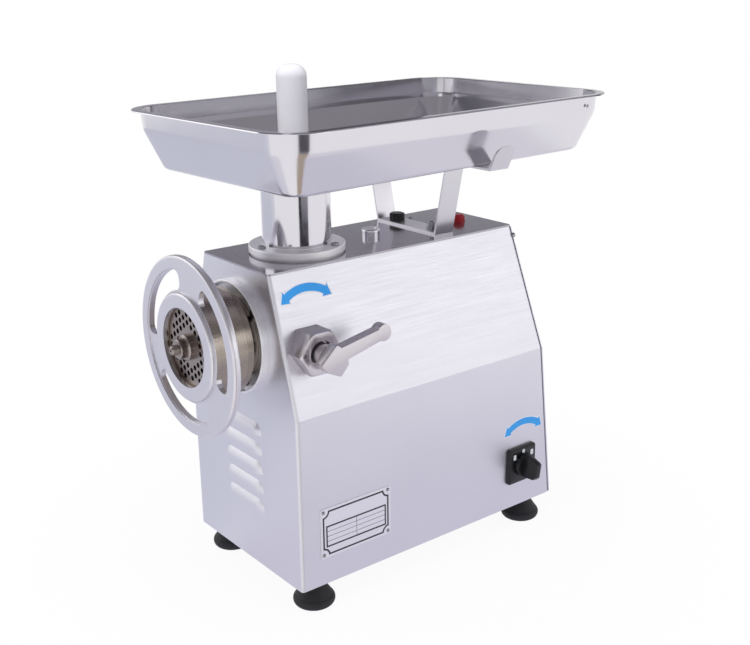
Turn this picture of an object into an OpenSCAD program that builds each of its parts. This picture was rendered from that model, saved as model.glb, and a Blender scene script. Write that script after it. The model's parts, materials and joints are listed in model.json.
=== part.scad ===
// Electric meat grinder with a bench housing, a pull-out head, a ring handwheel and a lift-off tray.
// Millimetres. +Z is up, the outlet faces -Y, the clamp lever and the switch are on the +X side.
// Inside the modules x = 0 is the middle of the housing, y = 0 its front face and z = 0 the table.
// place() then moves everything so that the origin is the middle of the footprint of the whole machine.

/* [Housing] */
// Width of the housing below the shoulder
housing_w = 222.8; // [216:1:260]
// Width of the deck at the top of the leaning sides
deck_w = 134; // [130:1:150]
// Height of the housing from its bottom edge to the deck
housing_h = 360; // [358:1:380]
// Height of the shoulder where the sides start to lean in
shoulder_h = 206.7; // [190:1:210]
// Length of the housing along its bottom edge
housing_l = 398.7; // [396:1:430]
// How far the rear panel leans forward over the full height
rear_lean = 40; // [34:1:42]
// Thickness of the housing sheet
sheet = 2; // [1.5:0.25:2.5]
// Outside radius of the folded upright edges
bend_r = 4; // [3:0.5:6]
// Width of the flanges turned in round the openings of the housing
turn_in = 10; // [8:1:12]
// Thickness of the rear panel
rear_t = 1.5; // [1:0.25:2]
// Thickness of the base plate
base_t = 3; // [2:0.5:4]
// Thickness of the deck plate
deck_t = 2; // [1.5:0.25:2.5]

/* [Louvres] */
// Length of one louvre
louvre_w = 80; // [60:1:100]
// Distance from one louvre to the next
louvre_pitch = 24; // [22:1:26]
// Radius of a louvre hood's curve
louvre_r = 24; // [20:1:28]
// How far a hood stands out of the sheet
louvre_out = 4.5; // [3.5:0.5:5.5]
// Number of louvres
louvres = 5; // [3:1:5]

/* [Feet] */
// Height of a rubber foot
foot_h = 33; // [25:1:40]
// Largest radius of a foot
foot_r = 24.5; // [22:0.5:26]
// Radius of the top of a foot
foot_top_r = 11; // [10:0.5:13]
// Distance of a foot's axis from the side of the housing
foot_side = 22; // [20:1:30]
// Distance of the front feet from the front face
foot_front = 30.5; // [27:0.5:40]
// Distance of the rear feet from the bottom edge of the rear panel
foot_rear = 33; // [29:1:40]

/* [Head] */
// Distance of the head's axis below the deck
axis_drop = 83.5; // [83:0.5:88]
// Outside radius of the barrel
barrel_r = 47.4; // [46:0.1:48]
// Bore radius of the barrel
barrel_bore = 43.5; // [42:0.1:44]
// Front end of the barrel, ahead of the front face
barrel_front = 56; // [54:0.5:58]
// Radius of the shoulder behind the ring wheel
shoulder_r = 59; // [58:0.5:62]
// Width of the shoulder behind the ring wheel
shoulder_t = 8; // [6:0.5:9]
// Radius of the threaded front end of the barrel
thread_r = 56; // [54:0.5:57]
// Depth of the barrel inside the housing
barrel_depth = 140; // [134:1:142]
// Radius of the hole plate
plate_r = 49.5; // [49:0.1:50]
// Thickness of the hole plate
plate_t = 10; // [8:0.5:12]
// Radius of one hole of the plate
plate_hole_r = 3; // [2:0.1:3.4]
// Distance between the holes of the plate
plate_pitch = 9; // [8:0.25:10]
// Turn of the rows of holes
plate_turn = 34; // [0:1:60]
// Thickness of the knife
knife_t = 12; // [10:0.5:13]
// Radius of the worm's pin in the plate
pin_r = 11; // [9:0.5:12]
// How far the worm's pin reaches ahead of the front face
pin_front = 84; // [80:0.5:86]
// Core radius of the worm
worm_core_r = 17; // [15:0.5:19]
// Pitch of the worm's flight
worm_pitch = 41; // [36:1:48]
// Side of the worm's square tang
tang = 20; // [16:0.5:22]

/* [Ring wheel] */
// Outside radius of the wheel's rim
rim_r = 101; // [96:0.5:106]
// Inside radius of the rim
rim_in_r = 87; // [84:0.5:90]
// Thickness of the rim
rim_t = 9; // [7:0.5:11]
// Distance of the rim's front from the front face of the housing
rim_front = 66; // [62:0.5:67]
// Outside radius of the hub
hub_r = 61; // [60:0.5:64]
// Distance of the hub's front from the front face of the housing
hub_front = 69; // [68:0.5:72]
// Distance of the hub's rear end from the front face of the housing
hub_rear = 24; // [18:0.5:26]
// Radius of the outlet in the hub
outlet_r = 44.4; // [42:0.1:45.5]
// Thickness of the lip that holds the plate
lip_t = 7.5; // [6.5:0.5:9]
// Thickness of the spokes
web_t = 6.5; // [5:0.5:7]
// Angle of the first spoke, from +X towards +Z
spoke_turn = 79; // [60:1:100]
// Angle that one spoke covers
spoke_angle = 33; // [26:1:40]

/* [Head flange] */
// Outside radius of the flange on the front face
flange_r = 65; // [63.5:0.5:70]
// How far the flange stands out
flange_out = 10; // [9:0.5:11]
// Width of the flange's lip
flange_lip = 3.5; // [2.5:0.5:4]
// Outside radius of the seat tube in the housing
seat_r = 53; // [52:0.5:54]

/* [Clamp] */
// Distance of the clamp's axis from the front face
clamp_y = 35; // [31:0.5:38]
// Distance of the hex boss's end from the middle of the housing
clamp_end = 112.5; // [110:0.5:116]
// Radius of the hex boss over its corners
hex_r = 27; // [24:0.5:29]
// Radius of the clamp screw
screw_r = 12; // [10:0.5:13]
// Distance from the hex boss to the lever
lever_gap = 12; // [9:0.5:14]
// Thickness of the lever
lever_t = 13; // [11:0.5:15]
// Length of the lever, from the axis to the middle of its round end
lever_l = 67; // [60:1:76]
// Angle of the lever at rest, from +Y up towards +Z
lever_rise = 13.5; // [8:0.5:20]
// Radius of the lever's round end
lever_ball_r = 9.5; // [8:0.5:11]

/* [Neck and tray] */
// Distance of the neck's axis from the front face
neck_y = 84; // [80:0.5:86]
// Outside radius of the neck
neck_r = 39.4; // [38.5:0.1:40]
// Wall of the neck
neck_wall = 2.4; // [2:0.1:2.6]
// Radius of the neck's base flange
neck_flange_r = 55; // [52:0.5:58]
// Thickness of the neck's base flange
neck_flange_t = 10; // [8:0.5:12]
// Height of the underside of the tray above the deck
tray_rise = 91.5; // [80:0.5:110]
// Depth of the tray
tray_depth = 67.2; // [60:0.5:75]
// Width of the tray over its flange
tray_w = 316.3; // [305:1:330]
// Length of the tray over its flange
tray_l = 510.7; // [490:1:530]
// Distance of the throat's axis from the front edge of the tray
throat_front = 130.9; // [122:0.5:140]
// Corner radius of the tray's flange
tray_corner = 51; // [46:1:56]
// Width of the tray's flange
tray_flange = 9.5; // [8:0.5:12]
// Height of the upright band under the flange
tray_band = 21.7; // [18:0.5:26]
// How much the band leans in
band_lean = 2; // [1:0.5:3]
// How much the walls lean in below the band
wall_lean = 21.5; // [18:0.5:24]
// Thickness of the tray's sheet
tray_t = 1.2; // [1:0.1:1.6]
// Depth of the hem round the tray's flange
hem = 3; // [2:0.5:4]
// Turn of the tray about the neck, as it was put down
tray_yaw = 3.2; // [0:0.1:4]
// Length of the tray's collar inside the neck
collar_l = 20; // [14:1:30]

/* [Tray bracket] */
// Distance of the bracket from the front face
bracket_y = 264; // [258:0.5:268]
// Width of the bracket's strip
strip_w = 28; // [24:1:32]
// Thickness of the bracket's strip
strip_t = 2.5; // [2:0.25:3]
// How far the bracket sits to the left of the middle
bracket_left = 7; // [0:1:10]
// Half of the bracket's foot
bracket_half = 55; // [50:1:58]
// How much one leg leans out
leg_lean = 20; // [14:1:24]
// Distance of the upturned tabs from the middle of the bracket
tab_reach = 146.5; // [144.5:0.5:152]
// Height of a tab
tab_h = 28; // [20:1:30]
// Distance between the two fasteners of the bracket
bolt_gap = 66; // [56:1:76]

/* [Pusher] */
// Radius of the pusher's rod
pusher_r = 16.8; // [15:0.1:18]
// Height of the pusher above the tray's floor
pusher_rise = 114.5; // [90:0.5:140]
// Radius of the guard disc that rests on the tray's floor
guard_r = 46; // [42:0.5:52]
// Radius of the plunger in the neck
plunger_r = 30; // [26:0.5:33]

/* [Switch and plate] */
// Distance of the switch's axis from the rear edge of the housing
switch_rear = 51.75; // [48:0.05:60]
// Height of the switch's axis above the bottom edge of the housing
switch_h = 58; // [50:0.5:64]
// Side of the switch's square plate
switch_side = 48; // [44:1:52]
// Thickness of the switch's plate
switch_t = 5.5; // [4:0.5:7]
// Radius of the switch's knob
knob_r = 15; // [13:0.5:18]
// Height of the switch's knob
knob_h = 27; // [20:0.5:30]
// Angle of the knob's grip at rest, from +Y towards +Z
knob_turn = 80; // [0:5:90]
// Length of the data plate
data_l = 100; // [90:1:110]
// Height of the data plate
data_h = 61; // [55:1:66]
// Distance of the data plate's front edge from the front face
data_y = 26.5; // [24:0.5:32]
// Distance of the data plate's lower edge from the housing's bottom edge
data_z = 33; // [28:0.5:40]

/* [Gears] */
// Module of the gears
gear_m = 2; // [2:0.01:2.04]
// Teeth of the motor's pinion
pinion_teeth = 18; // [16:1:19]
// Teeth of the large gear on the layshaft
lay_teeth = 54; // [51:1:55]
// Teeth of the small gear on the layshaft
lay_pinion_teeth = 22; // [20:1:22]
// Teeth of the output gear
output_teeth = 63; // [60:1:63]
// Play between the flanks of two teeth
backlash = 0.4; // [0.3:0.05:0.6]
// Distance between the gearbox's cover and the rear panel, where it leans closest
box_gap = 10.76; // [10:0.01:14]

/* [Motor] */
// Radius of the motor's frame
motor_r = 80; // [76:0.5:82]
// Front end of the motor's frame
motor_front = 58; // [56:1:64]
// Length of the bell between the motor's frame and the gearbox
bell_l = 36; // [30:1:44]
// Radius of the fan
fan_r = 62; // [55:1:68]

/* [Hidden] */
// Clearance of a running shaft in its bore
run = 0.08;
// Gap between two pieces that slide past each other
slip = 0.3;
// Gap between fixed pieces that are fitted by hand
fit = 0.2;
// A little more than a cut needs
over = 1;
$fn = 64;

bottom_z = foot_h;
shoulder_z = bottom_z + shoulder_h;
deck_z = bottom_z + housing_h;
axis_z = deck_z - axis_drop;
half_w = housing_w / 2;
half_deck = deck_w / 2;
shell_top_z = deck_z - deck_t;

// Half width of the housing and place of its rear plane at a height
function half_at(z) = z <= shoulder_z ? half_w
    : half_w - (half_w - half_deck) * (z - shoulder_z) / (deck_z - shoulder_z);
function rear_at(z) = housing_l - rear_lean * (z - bottom_z) / housing_h;

// Head
seat_bore = barrel_r + 0.1;
seat_wall_t = 8;
seat_end = barrel_depth + 2 + seat_wall_t;
plate_front = hub_front - lip_t - slip;
plate_back = plate_front - plate_t;
plate_seat_r = plate_r + fit;
knife_back = plate_back - slip - knife_t;
worm_front = knife_back - slip;
counterbore = barrel_front - worm_front + 2;
barrel_wall = 8;
journal_r = 20;
journal_end = barrel_depth + 1;
knife_square = 22;
boss_r = 14.5;
boss_t = 8;
key_r = 3;
lug_angle = -57;
lug_w = 9;
lug_r = 57;
lug_y = [-9, -3.3];

// Clamp
wall_x = half_at(axis_z);
lever_x = clamp_end + lever_gap;
spigot_r = screw_r + 5;

// Neck, tray and pusher
neck_bore = neck_r - neck_wall;
feed_r = neck_bore - 1;
collar_r = neck_bore - slip;
throat_r = collar_r - 1.5;
tray_z = deck_z + tray_rise;
rim_z = tray_z + tray_depth;
tray_floor_z = tray_z + tray_t;
neck_top_z = tray_z - slip;
neck_seat_z = axis_z + seat_r + 1;
guard_t = 6;
plunger_z = axis_z + barrel_r + 3;

// Drive
output_r = gear_m * output_teeth / 2;
lay_pinion_r = gear_m * lay_pinion_teeth / 2;
lay_r = gear_m * lay_teeth / 2;
motor_pinion_r = gear_m * pinion_teeth / 2;
lay_z = axis_z - output_r - lay_pinion_r;
motor_z = lay_z - lay_r - motor_pinion_r;
shaft_front = seat_end - 5;
socket_depth = 26;
socket = tang + 0.6;
box_wall = 7;
box_cavity = 58;
box_rim = 6;
box_room = gear_m + 3;
cover_t = 8;
box_back = rear_at(axis_z + output_r + box_room + box_rim) - box_gap - cover_t;
box_front = box_back - box_cavity - box_wall;
stage_one = [box_front + 12, box_front + 27];
stage_two = [box_front + 32, box_front + 57];
output_shaft_r = 18;
lay_shaft_r = 10;
motor_shaft_r = 12;
motor_back = box_front - bell_l;
motor_l = motor_back - motor_front;

// Switch
switch_z = bottom_z + switch_h;
switch_y = rear_at(switch_z) - switch_rear;

// Middle of the footprint: the tray's rounded corners, the lever and the front of the worm's pin
tray_x_corner = tray_w / 2 - tray_corner;
tray_rear = tray_l - throat_front;
tray_right = tray_x_corner * cos(tray_yaw) + (throat_front - tray_corner) * sin(tray_yaw) + tray_corner;
tray_left = tray_x_corner * cos(tray_yaw) + (tray_rear - tray_corner) * sin(tray_yaw) + tray_corner;
tray_back = neck_y + tray_x_corner * sin(tray_yaw) + (tray_rear - tray_corner) * cos(tray_yaw) + tray_corner;
mid_x = (tray_right - tray_left) / 2;
mid_y = (tray_back - pin_front) / 2;

// ---- Shared shapes ----

module place() { translate([-mid_x, -mid_y, 0]) children(); }

// Puts children drawn along +Z onto an axis that runs from front to rear; their X stays, their Y points down
module along_y(x, y, z) { translate([x, y, z]) rotate([-90, 0, 0]) children(); }

// The same towards the +X side; their X becomes -Z
module along_x(x, y, z) { translate([x, y, z]) rotate([0, 90, 0]) children(); }

// A round bar or hole that runs from y0 to y1 at a height
module bar_y(r, y0, y1, z, x = 0) { along_y(x, y0, z) cylinder(r = r, h = y1 - y0); }

module ring_y(r_out, r_in, y0, y1, z) {
    difference() {
        bar_y(r_out, y0, y1, z);
        bar_y(r_in, y0 - over, y1 + over, z);
    }
}

module rounded_rect(w, l, r) {
    square([w - 2 * r, l], center = true);
    square([w, l - 2 * r], center = true);
    for (x = [-1, 1], y = [-1, 1]) translate([x * (w / 2 - r), y * (l / 2 - r)]) circle(r = r);
}

// A thin rounded rectangle at a height, used as one end of a hull
module slab(w, l, r, z) {
    translate([0, 0, z]) linear_extrude(0.01) rounded_rect(w, l, r, $fn = 32);
}

// The housing's form with bent upright edges: in, front and rear are the insets of the sides and the ends
module body(in, front, rear, r, z0, z1) {
    thin = 0.1;
    hull() for (z = [z0, shoulder_z, z1 - thin], side = [-1, 1], y = [front + r, rear_at(z) - rear - r])
        translate([side * (half_at(z) - in - r), y, z]) cylinder(r = r, h = thin, $fn = 16);
}

// Outline of the housing seen from the front, with its sides moved in
module front_outline(in, z0, z1) {
    polygon([for (p = [[-1, z0], [-1, shoulder_z], [-1, z1], [1, z1], [1, shoulder_z], [1, z0]])
        [p[0] * (half_at(p[1]) - in), p[1]]]);
}

// A slice of the housing that follows the leaning rear plane, from rear0 to rear1 ahead of it
module rear_slice(in, rear0, rear1, z0, z1) {
    intersection() {
        translate([0, housing_l + over, 0]) rotate([90, 0, 0])
            linear_extrude(housing_l) front_outline(in, z0, z1);
        rotate([90, 0, 90]) linear_extrude(housing_w + 2 * over, center = true)
            polygon([for (p = [[rear0, z0], [rear1, z0], [rear1, z1], [rear0, z1]])
                [rear_at(p[1]) - p[0], p[1]]]);
    }
}

// A round headed screw that stands on the plane z = 0 and reaches down into it
module screw(head_r, head_h, shank_r, shank_l) {
    difference() {
        cylinder(r = head_r, h = head_h);
        translate([0, 0, head_h / 2]) cylinder(r = head_r * 0.45, h = head_h, $fn = 6);
    }
    translate([0, 0, -shank_l]) cylinder(r = shank_r, h = shank_l);
}

// ---- Housing ----

rear_screw_r = 1.9;
deck_screw_r = 1.5;
deck_screw = [-42, 288];
base_end = rear_at(bottom_z + base_t) - rear_t - fit;
case_screw_spots = [for (z = [bottom_z + 30, shoulder_z - 30, deck_z - 45], side = [-1, 1])
    [side * (half_at(z) - turn_in), z]];

// A bar with round ends along X
module capsule(r) {
    half = louvre_w / 2 - louvre_h;
    rotate([0, 90, 0]) rotate_extrude($fn = 64) intersection() {
        union() {
            translate([0, -half]) square([r, 2 * half]);
            for (end = [-1, 1]) translate([0, end * half]) circle(r = r, $fn = 32);
        }
        translate([0, -2 * louvre_w]) square([louvre_w, 4 * louvre_w]);
    }
}

// A pressed hood, which opens downwards
module louvre(r, low = 0) {
    intersection() {
        capsule(r);
        translate([-louvre_w, -louvre_w, -low]) cube([2 * louvre_w, 2 * louvre_w, louvre_w]);
    }
}

louvre_wall = 1.2;
// Height of a hood where it leaves the face
louvre_h = sqrt(2 * louvre_r * louvre_out - pow(louvre_out, 2));
louvre_mid_z = bottom_z + 119;

module each_louvre() {
    for (i = [0 : louvres - 1])
        translate([0, louvre_r - louvre_out, louvre_mid_z + (i - (louvres - 1) / 2) * louvre_pitch]) children();
}

module housing_shell() {
    clamp_hole_r = spigot_r + slip;
    color("silver") place() difference() {
        union() {
            difference() {
                body(0, 0, rear_t + fit, bend_r, bottom_z, shell_top_z);
                body(sheet, sheet, rear_t + fit + sheet, bend_r - sheet, bottom_z + base_t + sheet, shell_top_z - sheet);
            }
            intersection() {
                each_louvre() louvre(louvre_r);
                translate([-half_w, -louvre_r, bottom_z]) cube([housing_w, louvre_r + sheet, shoulder_h]);
            }
        }
        each_louvre() louvre(louvre_r - louvre_wall, 0.5);
        // Opening for the base plate, with a flange left above it
        translate([-half_w + sheet, sheet, bottom_z - over]) cube([housing_w - 2 * sheet, housing_l, base_t + over]);
        translate([-half_w + sheet + turn_in, sheet + turn_in, bottom_z])
            cube([housing_w - 2 * (sheet + turn_in), base_end - 2 * (sheet + turn_in), base_t + 2 * sheet]);
        // Opening behind, with a flange left for the rear panel
        translate([0, housing_l + over, 0]) rotate([90, 0, 0]) linear_extrude(rear_lean + 4 * sheet + over)
            front_outline(sheet + turn_in, bottom_z + base_t + sheet + turn_in, shell_top_z - sheet - turn_in);
        deck_holes(shell_top_z - 2 * sheet, 3 * sheet);
        for (spot = case_screw_spots) bar_y(rear_screw_r + slip, housing_l - 2 * rear_lean, housing_l, spot[1], spot[0]);
        for (spot = flange_screw_spots) bar_y(flange_screw_r + fit, -over, 2 * sheet, axis_z + spot[1], spot[0]);
        bar_y(seat_r + fit, -over, 2 * sheet, axis_z);
        along_x(wall_x - 4 * sheet, clamp_y, axis_z) cylinder(r = clamp_hole_r, h = 8 * sheet);
        along_x(half_w - 2 * sheet, switch_y, bottom_z + switch_h) cylinder(r = switch_side / 2 - 6, h = 4 * sheet);
    }
}

// Everything that goes through the deck, as cutters from z0 over a height
module deck_holes(z0, h) {
    translate([0, neck_y, z0]) {
        cylinder(r = neck_r + fit, h = h);
        for (a = neck_screw_angles) rotate(a) translate([neck_screw_pcr, 0, 0]) cylinder(r = neck_screw_r + fit, h = h);
    }
    for (spot = bolt_spots) translate([spot[0], spot[1], z0]) cylinder(r = bolt_r + fit, h = h);
    translate([oil_spot[0], oil_spot[1], z0]) cylinder(r = oil_r + fit, h = h);
    translate([cap_spot[0], cap_spot[1], z0]) cylinder(r = cap_shank_r + fit, h = h);
    translate([deck_screw[0], deck_screw[1], z0]) cylinder(r = deck_screw_r + 0.1, h = h);
}

module deck_plate() {
    l = rear_at(deck_z);
    color("dimgray") place() difference() {
        translate([0, l / 2, shell_top_z]) linear_extrude(deck_t) rounded_rect(deck_w, l, bend_r);
        deck_holes(shell_top_z - over, deck_t + 2 * over);
    }
}

module rear_cover() {
    slot_w = 60;
    color("gainsboro") place() difference() {
        rear_slice(0.5, 0, rear_t, bottom_z, shell_top_z);
        for (i = [0 : 4], side = [-1, 1])
            translate([side * slot_w * 0.62 - slot_w / 2, housing_l - 2 * rear_lean, motor_z - 44 + i * 22])
                cube([slot_w, 3 * rear_lean, 5]);
        for (spot = case_screw_spots)
            bar_y(rear_screw_r + fit, housing_l - 2 * rear_lean, housing_l + over, spot[1], spot[0]);
        bar_y(gland_r + fit, housing_l - 2 * rear_lean, housing_l + over, gland_z, gland_x);
    }
}

module base_plate() {
    gap = sheet + fit;
    color("silver") place() difference() {
        translate([-half_w + gap, gap, bottom_z])
            cube([housing_w - 2 * gap, base_end - gap, base_t]);
        for (spot = foot_spots) translate([spot[0], spot[1], bottom_z - over]) cylinder(r = 3 + fit, h = base_t + 2 * over);
        for (x = [-50, 50], y = [90, 130, 170]) translate([x, y, bottom_z - over])
            linear_extrude(base_t + 2 * over) rounded_rect(50, 8, 3.9);
    }
}

// The screws of the rear panel and of the deck
module case_screws() {
    color("gray") place() {
        for (spot = case_screw_spots)
            along_y(spot[0], rear_at(spot[1]), spot[1]) rotate([atan(rear_lean / housing_h), 0, 0])
                screw(3.6, 2.2, rear_screw_r, 5);
        translate([deck_screw[0], deck_screw[1], deck_z]) screw(3, 1.6, deck_screw_r, deck_t + sheet);
    }
}

foot_spots = [for (y = [foot_front, housing_l - foot_rear], side = [-1, 1]) [side * (half_w - foot_side), y]];

// A bell shaped rubber foot with a steel washer moulded in
module foot(spot) {
    edge = 7;
    color("black") place() translate([spot[0], spot[1], 0]) difference() {
        rotate_extrude() {
            translate([foot_r - edge, edge]) circle(r = edge);
            square([foot_r - edge, edge + 2]);
            polygon([[0, edge], [foot_r - 0.3, edge + 2], [foot_r - 3, edge + 6], [foot_top_r + 4, foot_h - 10],
                [foot_top_r, foot_h - 3], [foot_top_r, foot_h], [0, foot_h]]);
        }
        translate([0, 0, -over]) cylinder(r = 8, h = 8 + over);
        cylinder(r = 3 + fit, h = foot_h + over);
    }
}

module foot_front_left() { foot(foot_spots[0]); }
module foot_front_right() { foot(foot_spots[1]); }
module foot_rear_left() { foot(foot_spots[2]); }
module foot_rear_right() { foot(foot_spots[3]); }

// One long screw per foot, with its nut on the base plate
module foot_screws() {
    nut_z = bottom_z + base_t;
    color("gray") place() for (spot = foot_spots) translate([spot[0], spot[1], 0]) {
        translate([0, 0, 4]) cylinder(r = 5.5, h = 4);
        translate([0, 0, 4]) cylinder(r = 3, h = nut_z + 6 - 4);
        translate([0, 0, nut_z]) cylinder(r = 5.5, h = 5, $fn = 6);
    }
}

// ---- Head ----

flange_floor_t = 3;
flange_screw_r = 2.5;
flange_screw_pcr = (barrel_r + flange_r - flange_lip) / 2;
flange_screw_spots = [for (a = [40, 160, 280]) [flange_screw_pcr * cos(a), flange_screw_pcr * sin(a)]];
seat_flange_t = 6;

module head_flange() {
    lip_in = flange_r - flange_lip;
    bevel = 0.8;
    color("gray") place() difference() {
        union() {
            along_y(0, 0, axis_z) rotate_extrude()
                polygon([[0, 0], [0, -flange_floor_t], [lip_in, -flange_floor_t], [lip_in, -flange_out + bevel],
                    [lip_in + bevel, -flange_out], [flange_r - bevel, -flange_out], [flange_r, -flange_out + bevel], [flange_r, 0]]);
            along_y(0, -flange_out + 1, axis_z) rotate([0, 0, -lug_angle])
                translate([barrel_r + 1, -lug_w / 2 - 4, 0]) cube([lip_in + 1.5 - barrel_r, lug_w + 8, flange_out - 1.5]);
        }
        bar_y(barrel_r + slip, -flange_out - over, over, axis_z);
        along_y(0, -flange_out - over, axis_z) rotate([0, 0, -lug_angle])
            translate([0, -lug_w / 2 - 0.4, 0])
                cube([lug_r + 0.6, lug_w + 0.8, flange_out + over - flange_floor_t + 0.5]);
        along_y(0, -flange_floor_t - over, axis_z) rotate([0, 0, 4])
            translate([52, -9, 0]) cube([6, 18, flange_floor_t]);
        for (spot = flange_screw_spots) bar_y(flange_screw_r + fit, -flange_floor_t - over, over, axis_z + spot[1], spot[0]);
    }
}

module flange_screws() {
    color("black") place() for (spot = flange_screw_spots)
        translate([spot[0], -flange_floor_t, axis_z + spot[1]]) rotate([90, 0, 0])
            screw(4.5, 3, flange_screw_r, flange_floor_t + sheet + seat_flange_t);
}

// Fixed tube that the barrel slides into, cast with the seat of the neck and the boss of the clamp
module seat_tube() {
    boss_x = wall_x - sheet - 6;
    color("darkgray") place() difference() {
        union() {
            bar_y(seat_r, 0, seat_end, axis_z);
            bar_y(flange_r - 1, sheet, sheet + seat_flange_t, axis_z);
            bar_y(seat_r + 6, seat_end - seat_wall_t, seat_end, axis_z);
            translate([0, neck_y, axis_z]) cylinder(r = neck_r + 5, h = seat_r + 10);
            along_x(0, clamp_y, axis_z) cylinder(r = spigot_r + 4, h = boss_x);
        }
        bar_y(seat_bore, -over, seat_end - seat_wall_t, axis_z);
        bar_y(shaft_r + 2, 0, seat_end + over, axis_z);
        translate([0, neck_y, axis_z]) cylinder(r = neck_bore, h = seat_r + 20);
        translate([0, neck_y, neck_seat_z]) cylinder(r = neck_r + fit, h = 20);
        along_x(0, clamp_y, axis_z) cylinder(r = screw_r + slip, h = boss_x + over);
        along_x(boss_x - 14, clamp_y, axis_z) cylinder(r = spigot_r, h = 20);
        for (spot = flange_screw_spots)
            bar_y(flange_screw_r + 0.1, -over, sheet + seat_flange_t + over, axis_z + spot[1], spot[0]);
    }
}

shaft_r = 22;

module barrel() {
    color("lightgray") place() difference() {
        union() {
            bar_y(barrel_r, -barrel_front, barrel_depth, axis_z);
            bar_y(thread_r, -barrel_front, -hub_rear, axis_z);
            bar_y(shoulder_r, -hub_rear + slip, -hub_rear + slip + shoulder_t, axis_z);
            along_y(0, lug_y[0], axis_z) rotate([0, 0, -lug_angle])
                translate([barrel_r - 3, -lug_w / 2, 0]) cube([lug_r - barrel_r + 3, lug_w, lug_y[1] - lug_y[0]]);
        }
        bar_y(barrel_bore, -barrel_front - over, barrel_depth - barrel_wall, axis_z);
        bar_y(plate_seat_r, -barrel_front - over, -barrel_front + counterbore, axis_z);
        bar_y(journal_r + run, 0, barrel_depth + over, axis_z);
        translate([0, neck_y, axis_z]) cylinder(r = feed_r, h = 2 * barrel_r);
        bar_y(key_r, -barrel_front - over, -plate_back + fit, axis_z - plate_seat_r);
    }
}

// Pin in the barrel's front edge that stops the plate from turning
module plate_key() {
    color("gray") place() bar_y(key_r, -barrel_front, -plate_back + fit, axis_z - plate_seat_r);
}

// One slice of the flight: a sector of the worm seen along its axis
module flight_sector(r, angle, steps) {
    polygon(concat([[0, 0]], [for (i = [0 : steps]) [r * cos(i * angle / steps), r * sin(i * angle / steps)]]));
}

module worm() {
    flight_end = barrel_depth - barrel_wall - 2;
    length = flight_end + worm_front - 3;
    flight_r = barrel_bore - slip;
    color("silver") place() {
        bar_y(worm_core_r, -worm_front, flight_end, axis_z);
        along_y(0, -worm_front + 3, axis_z)
            linear_extrude(length, twist = -360 * length / worm_pitch, slices = ceil(length / worm_pitch * 24), $fn = 6)
                flight_sector(flight_r, 62, 4);
        bar_y(journal_r, flight_end - 3, journal_end, axis_z);
        along_y(0, journal_end - over, axis_z)
            translate([-tang / 2, -tang / 2, 0]) cube([tang, tang, socket_depth + shaft_front - journal_end - 2 + over]);
        along_y(0, -plate_back + slip, axis_z)
            translate([-knife_square / 2, -knife_square / 2, 0])
                cube([knife_square, knife_square, plate_back - worm_front - slip + over]);
        worm_pin();
    }
}

// The pin that runs in the plate, with a turned nose and a centre drilling
module worm_pin() {
    nose = 7.5;
    length = pin_front - worm_front;
    difference() {
        along_y(0, -pin_front, axis_z) rotate_extrude()
            polygon([[0, 0], [3.5, 0], [5, 1.5], [6, nose], [pin_r - 1, nose], [pin_r, nose + 1], [pin_r, length], [0, length]]);
        along_y(0, -pin_front - over, axis_z) cylinder(r = 1.2, h = 4);
    }
}

module knife() {
    blade_r = barrel_bore - 1;
    color("silver") place() difference() {
        along_y(0, -knife_back - knife_t, axis_z) union() {
            cylinder(r = knife_square * 0.8, h = knife_t);
            linear_extrude(knife_t) intersection() {
                circle(r = blade_r);
                for (a = [0 : 90 : 270]) rotate(a)
                    polygon([[8, -9], [blade_r, -12], [blade_r + 4, 2], [24, 4], [8, 12]]);
            }
        }
        along_y(0, -knife_back - knife_t - over, axis_z) rotate([0, 0, 0])
            translate([-knife_square / 2 - fit, -knife_square / 2 - fit, 0])
                cube([knife_square + 2 * fit, knife_square + 2 * fit, knife_t + 2 * over]);
    }
}

hole_rows = floor(plate_r / (plate_pitch * sqrt(3) / 2));

module hole_plate() {
    clear_in = boss_r + plate_hole_r + 1;
    clear_out = outlet_r - plate_hole_r - 0.6;
    color("darkgray") place() difference() {
        union() {
            bar_y(plate_r, -plate_front, -plate_back, axis_z);
            along_y(0, -plate_front - boss_t, axis_z) rotate_extrude()
                polygon([[0, 0], [boss_r - 2, 0], [boss_r, 2], [boss_r, boss_t + 1], [0, boss_t + 1]]);
        }
        bar_y(pin_r + run, -plate_front - 2 * boss_t, -plate_back + over, axis_z);
        bar_y(key_r + slip, -plate_front - over, -plate_back + over, axis_z - plate_seat_r);
        for (row = [-hole_rows : hole_rows], i = [-hole_rows - 1 : hole_rows + 1]) {
            u = (i + (row % 2 == 0 ? 0 : 0.5)) * plate_pitch;
            v = row * plate_pitch * sqrt(3) / 2;
            x = u * cos(plate_turn) - v * sin(plate_turn);
            z = u * sin(plate_turn) + v * cos(plate_turn);
            d = norm([x, z]);
            if (d > clear_in && d < clear_out)
                bar_y(plate_hole_r, -plate_front - over, -plate_back + over, axis_z + z, x);
        }
    }
}

// Window between two spokes, with rounded corners
module wheel_window(spoke) {
    corner = 9;
    from = hub_r + 2;
    to = rim_in_r - 1.5;
    edges = [spoke + spoke_angle / 2, spoke + 120 - spoke_angle / 2];
    offset(r = corner, $fn = 48) offset(delta = -corner) difference() {
        circle(r = to, $fn = 96);
        circle(r = from, $fn = 96);
        rotate(edges[0]) translate([-2 * to, -2 * to]) square([4 * to, 2 * to]);
        rotate(edges[1]) translate([-2 * to, 0]) square([4 * to, 2 * to]);
    }
}

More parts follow.
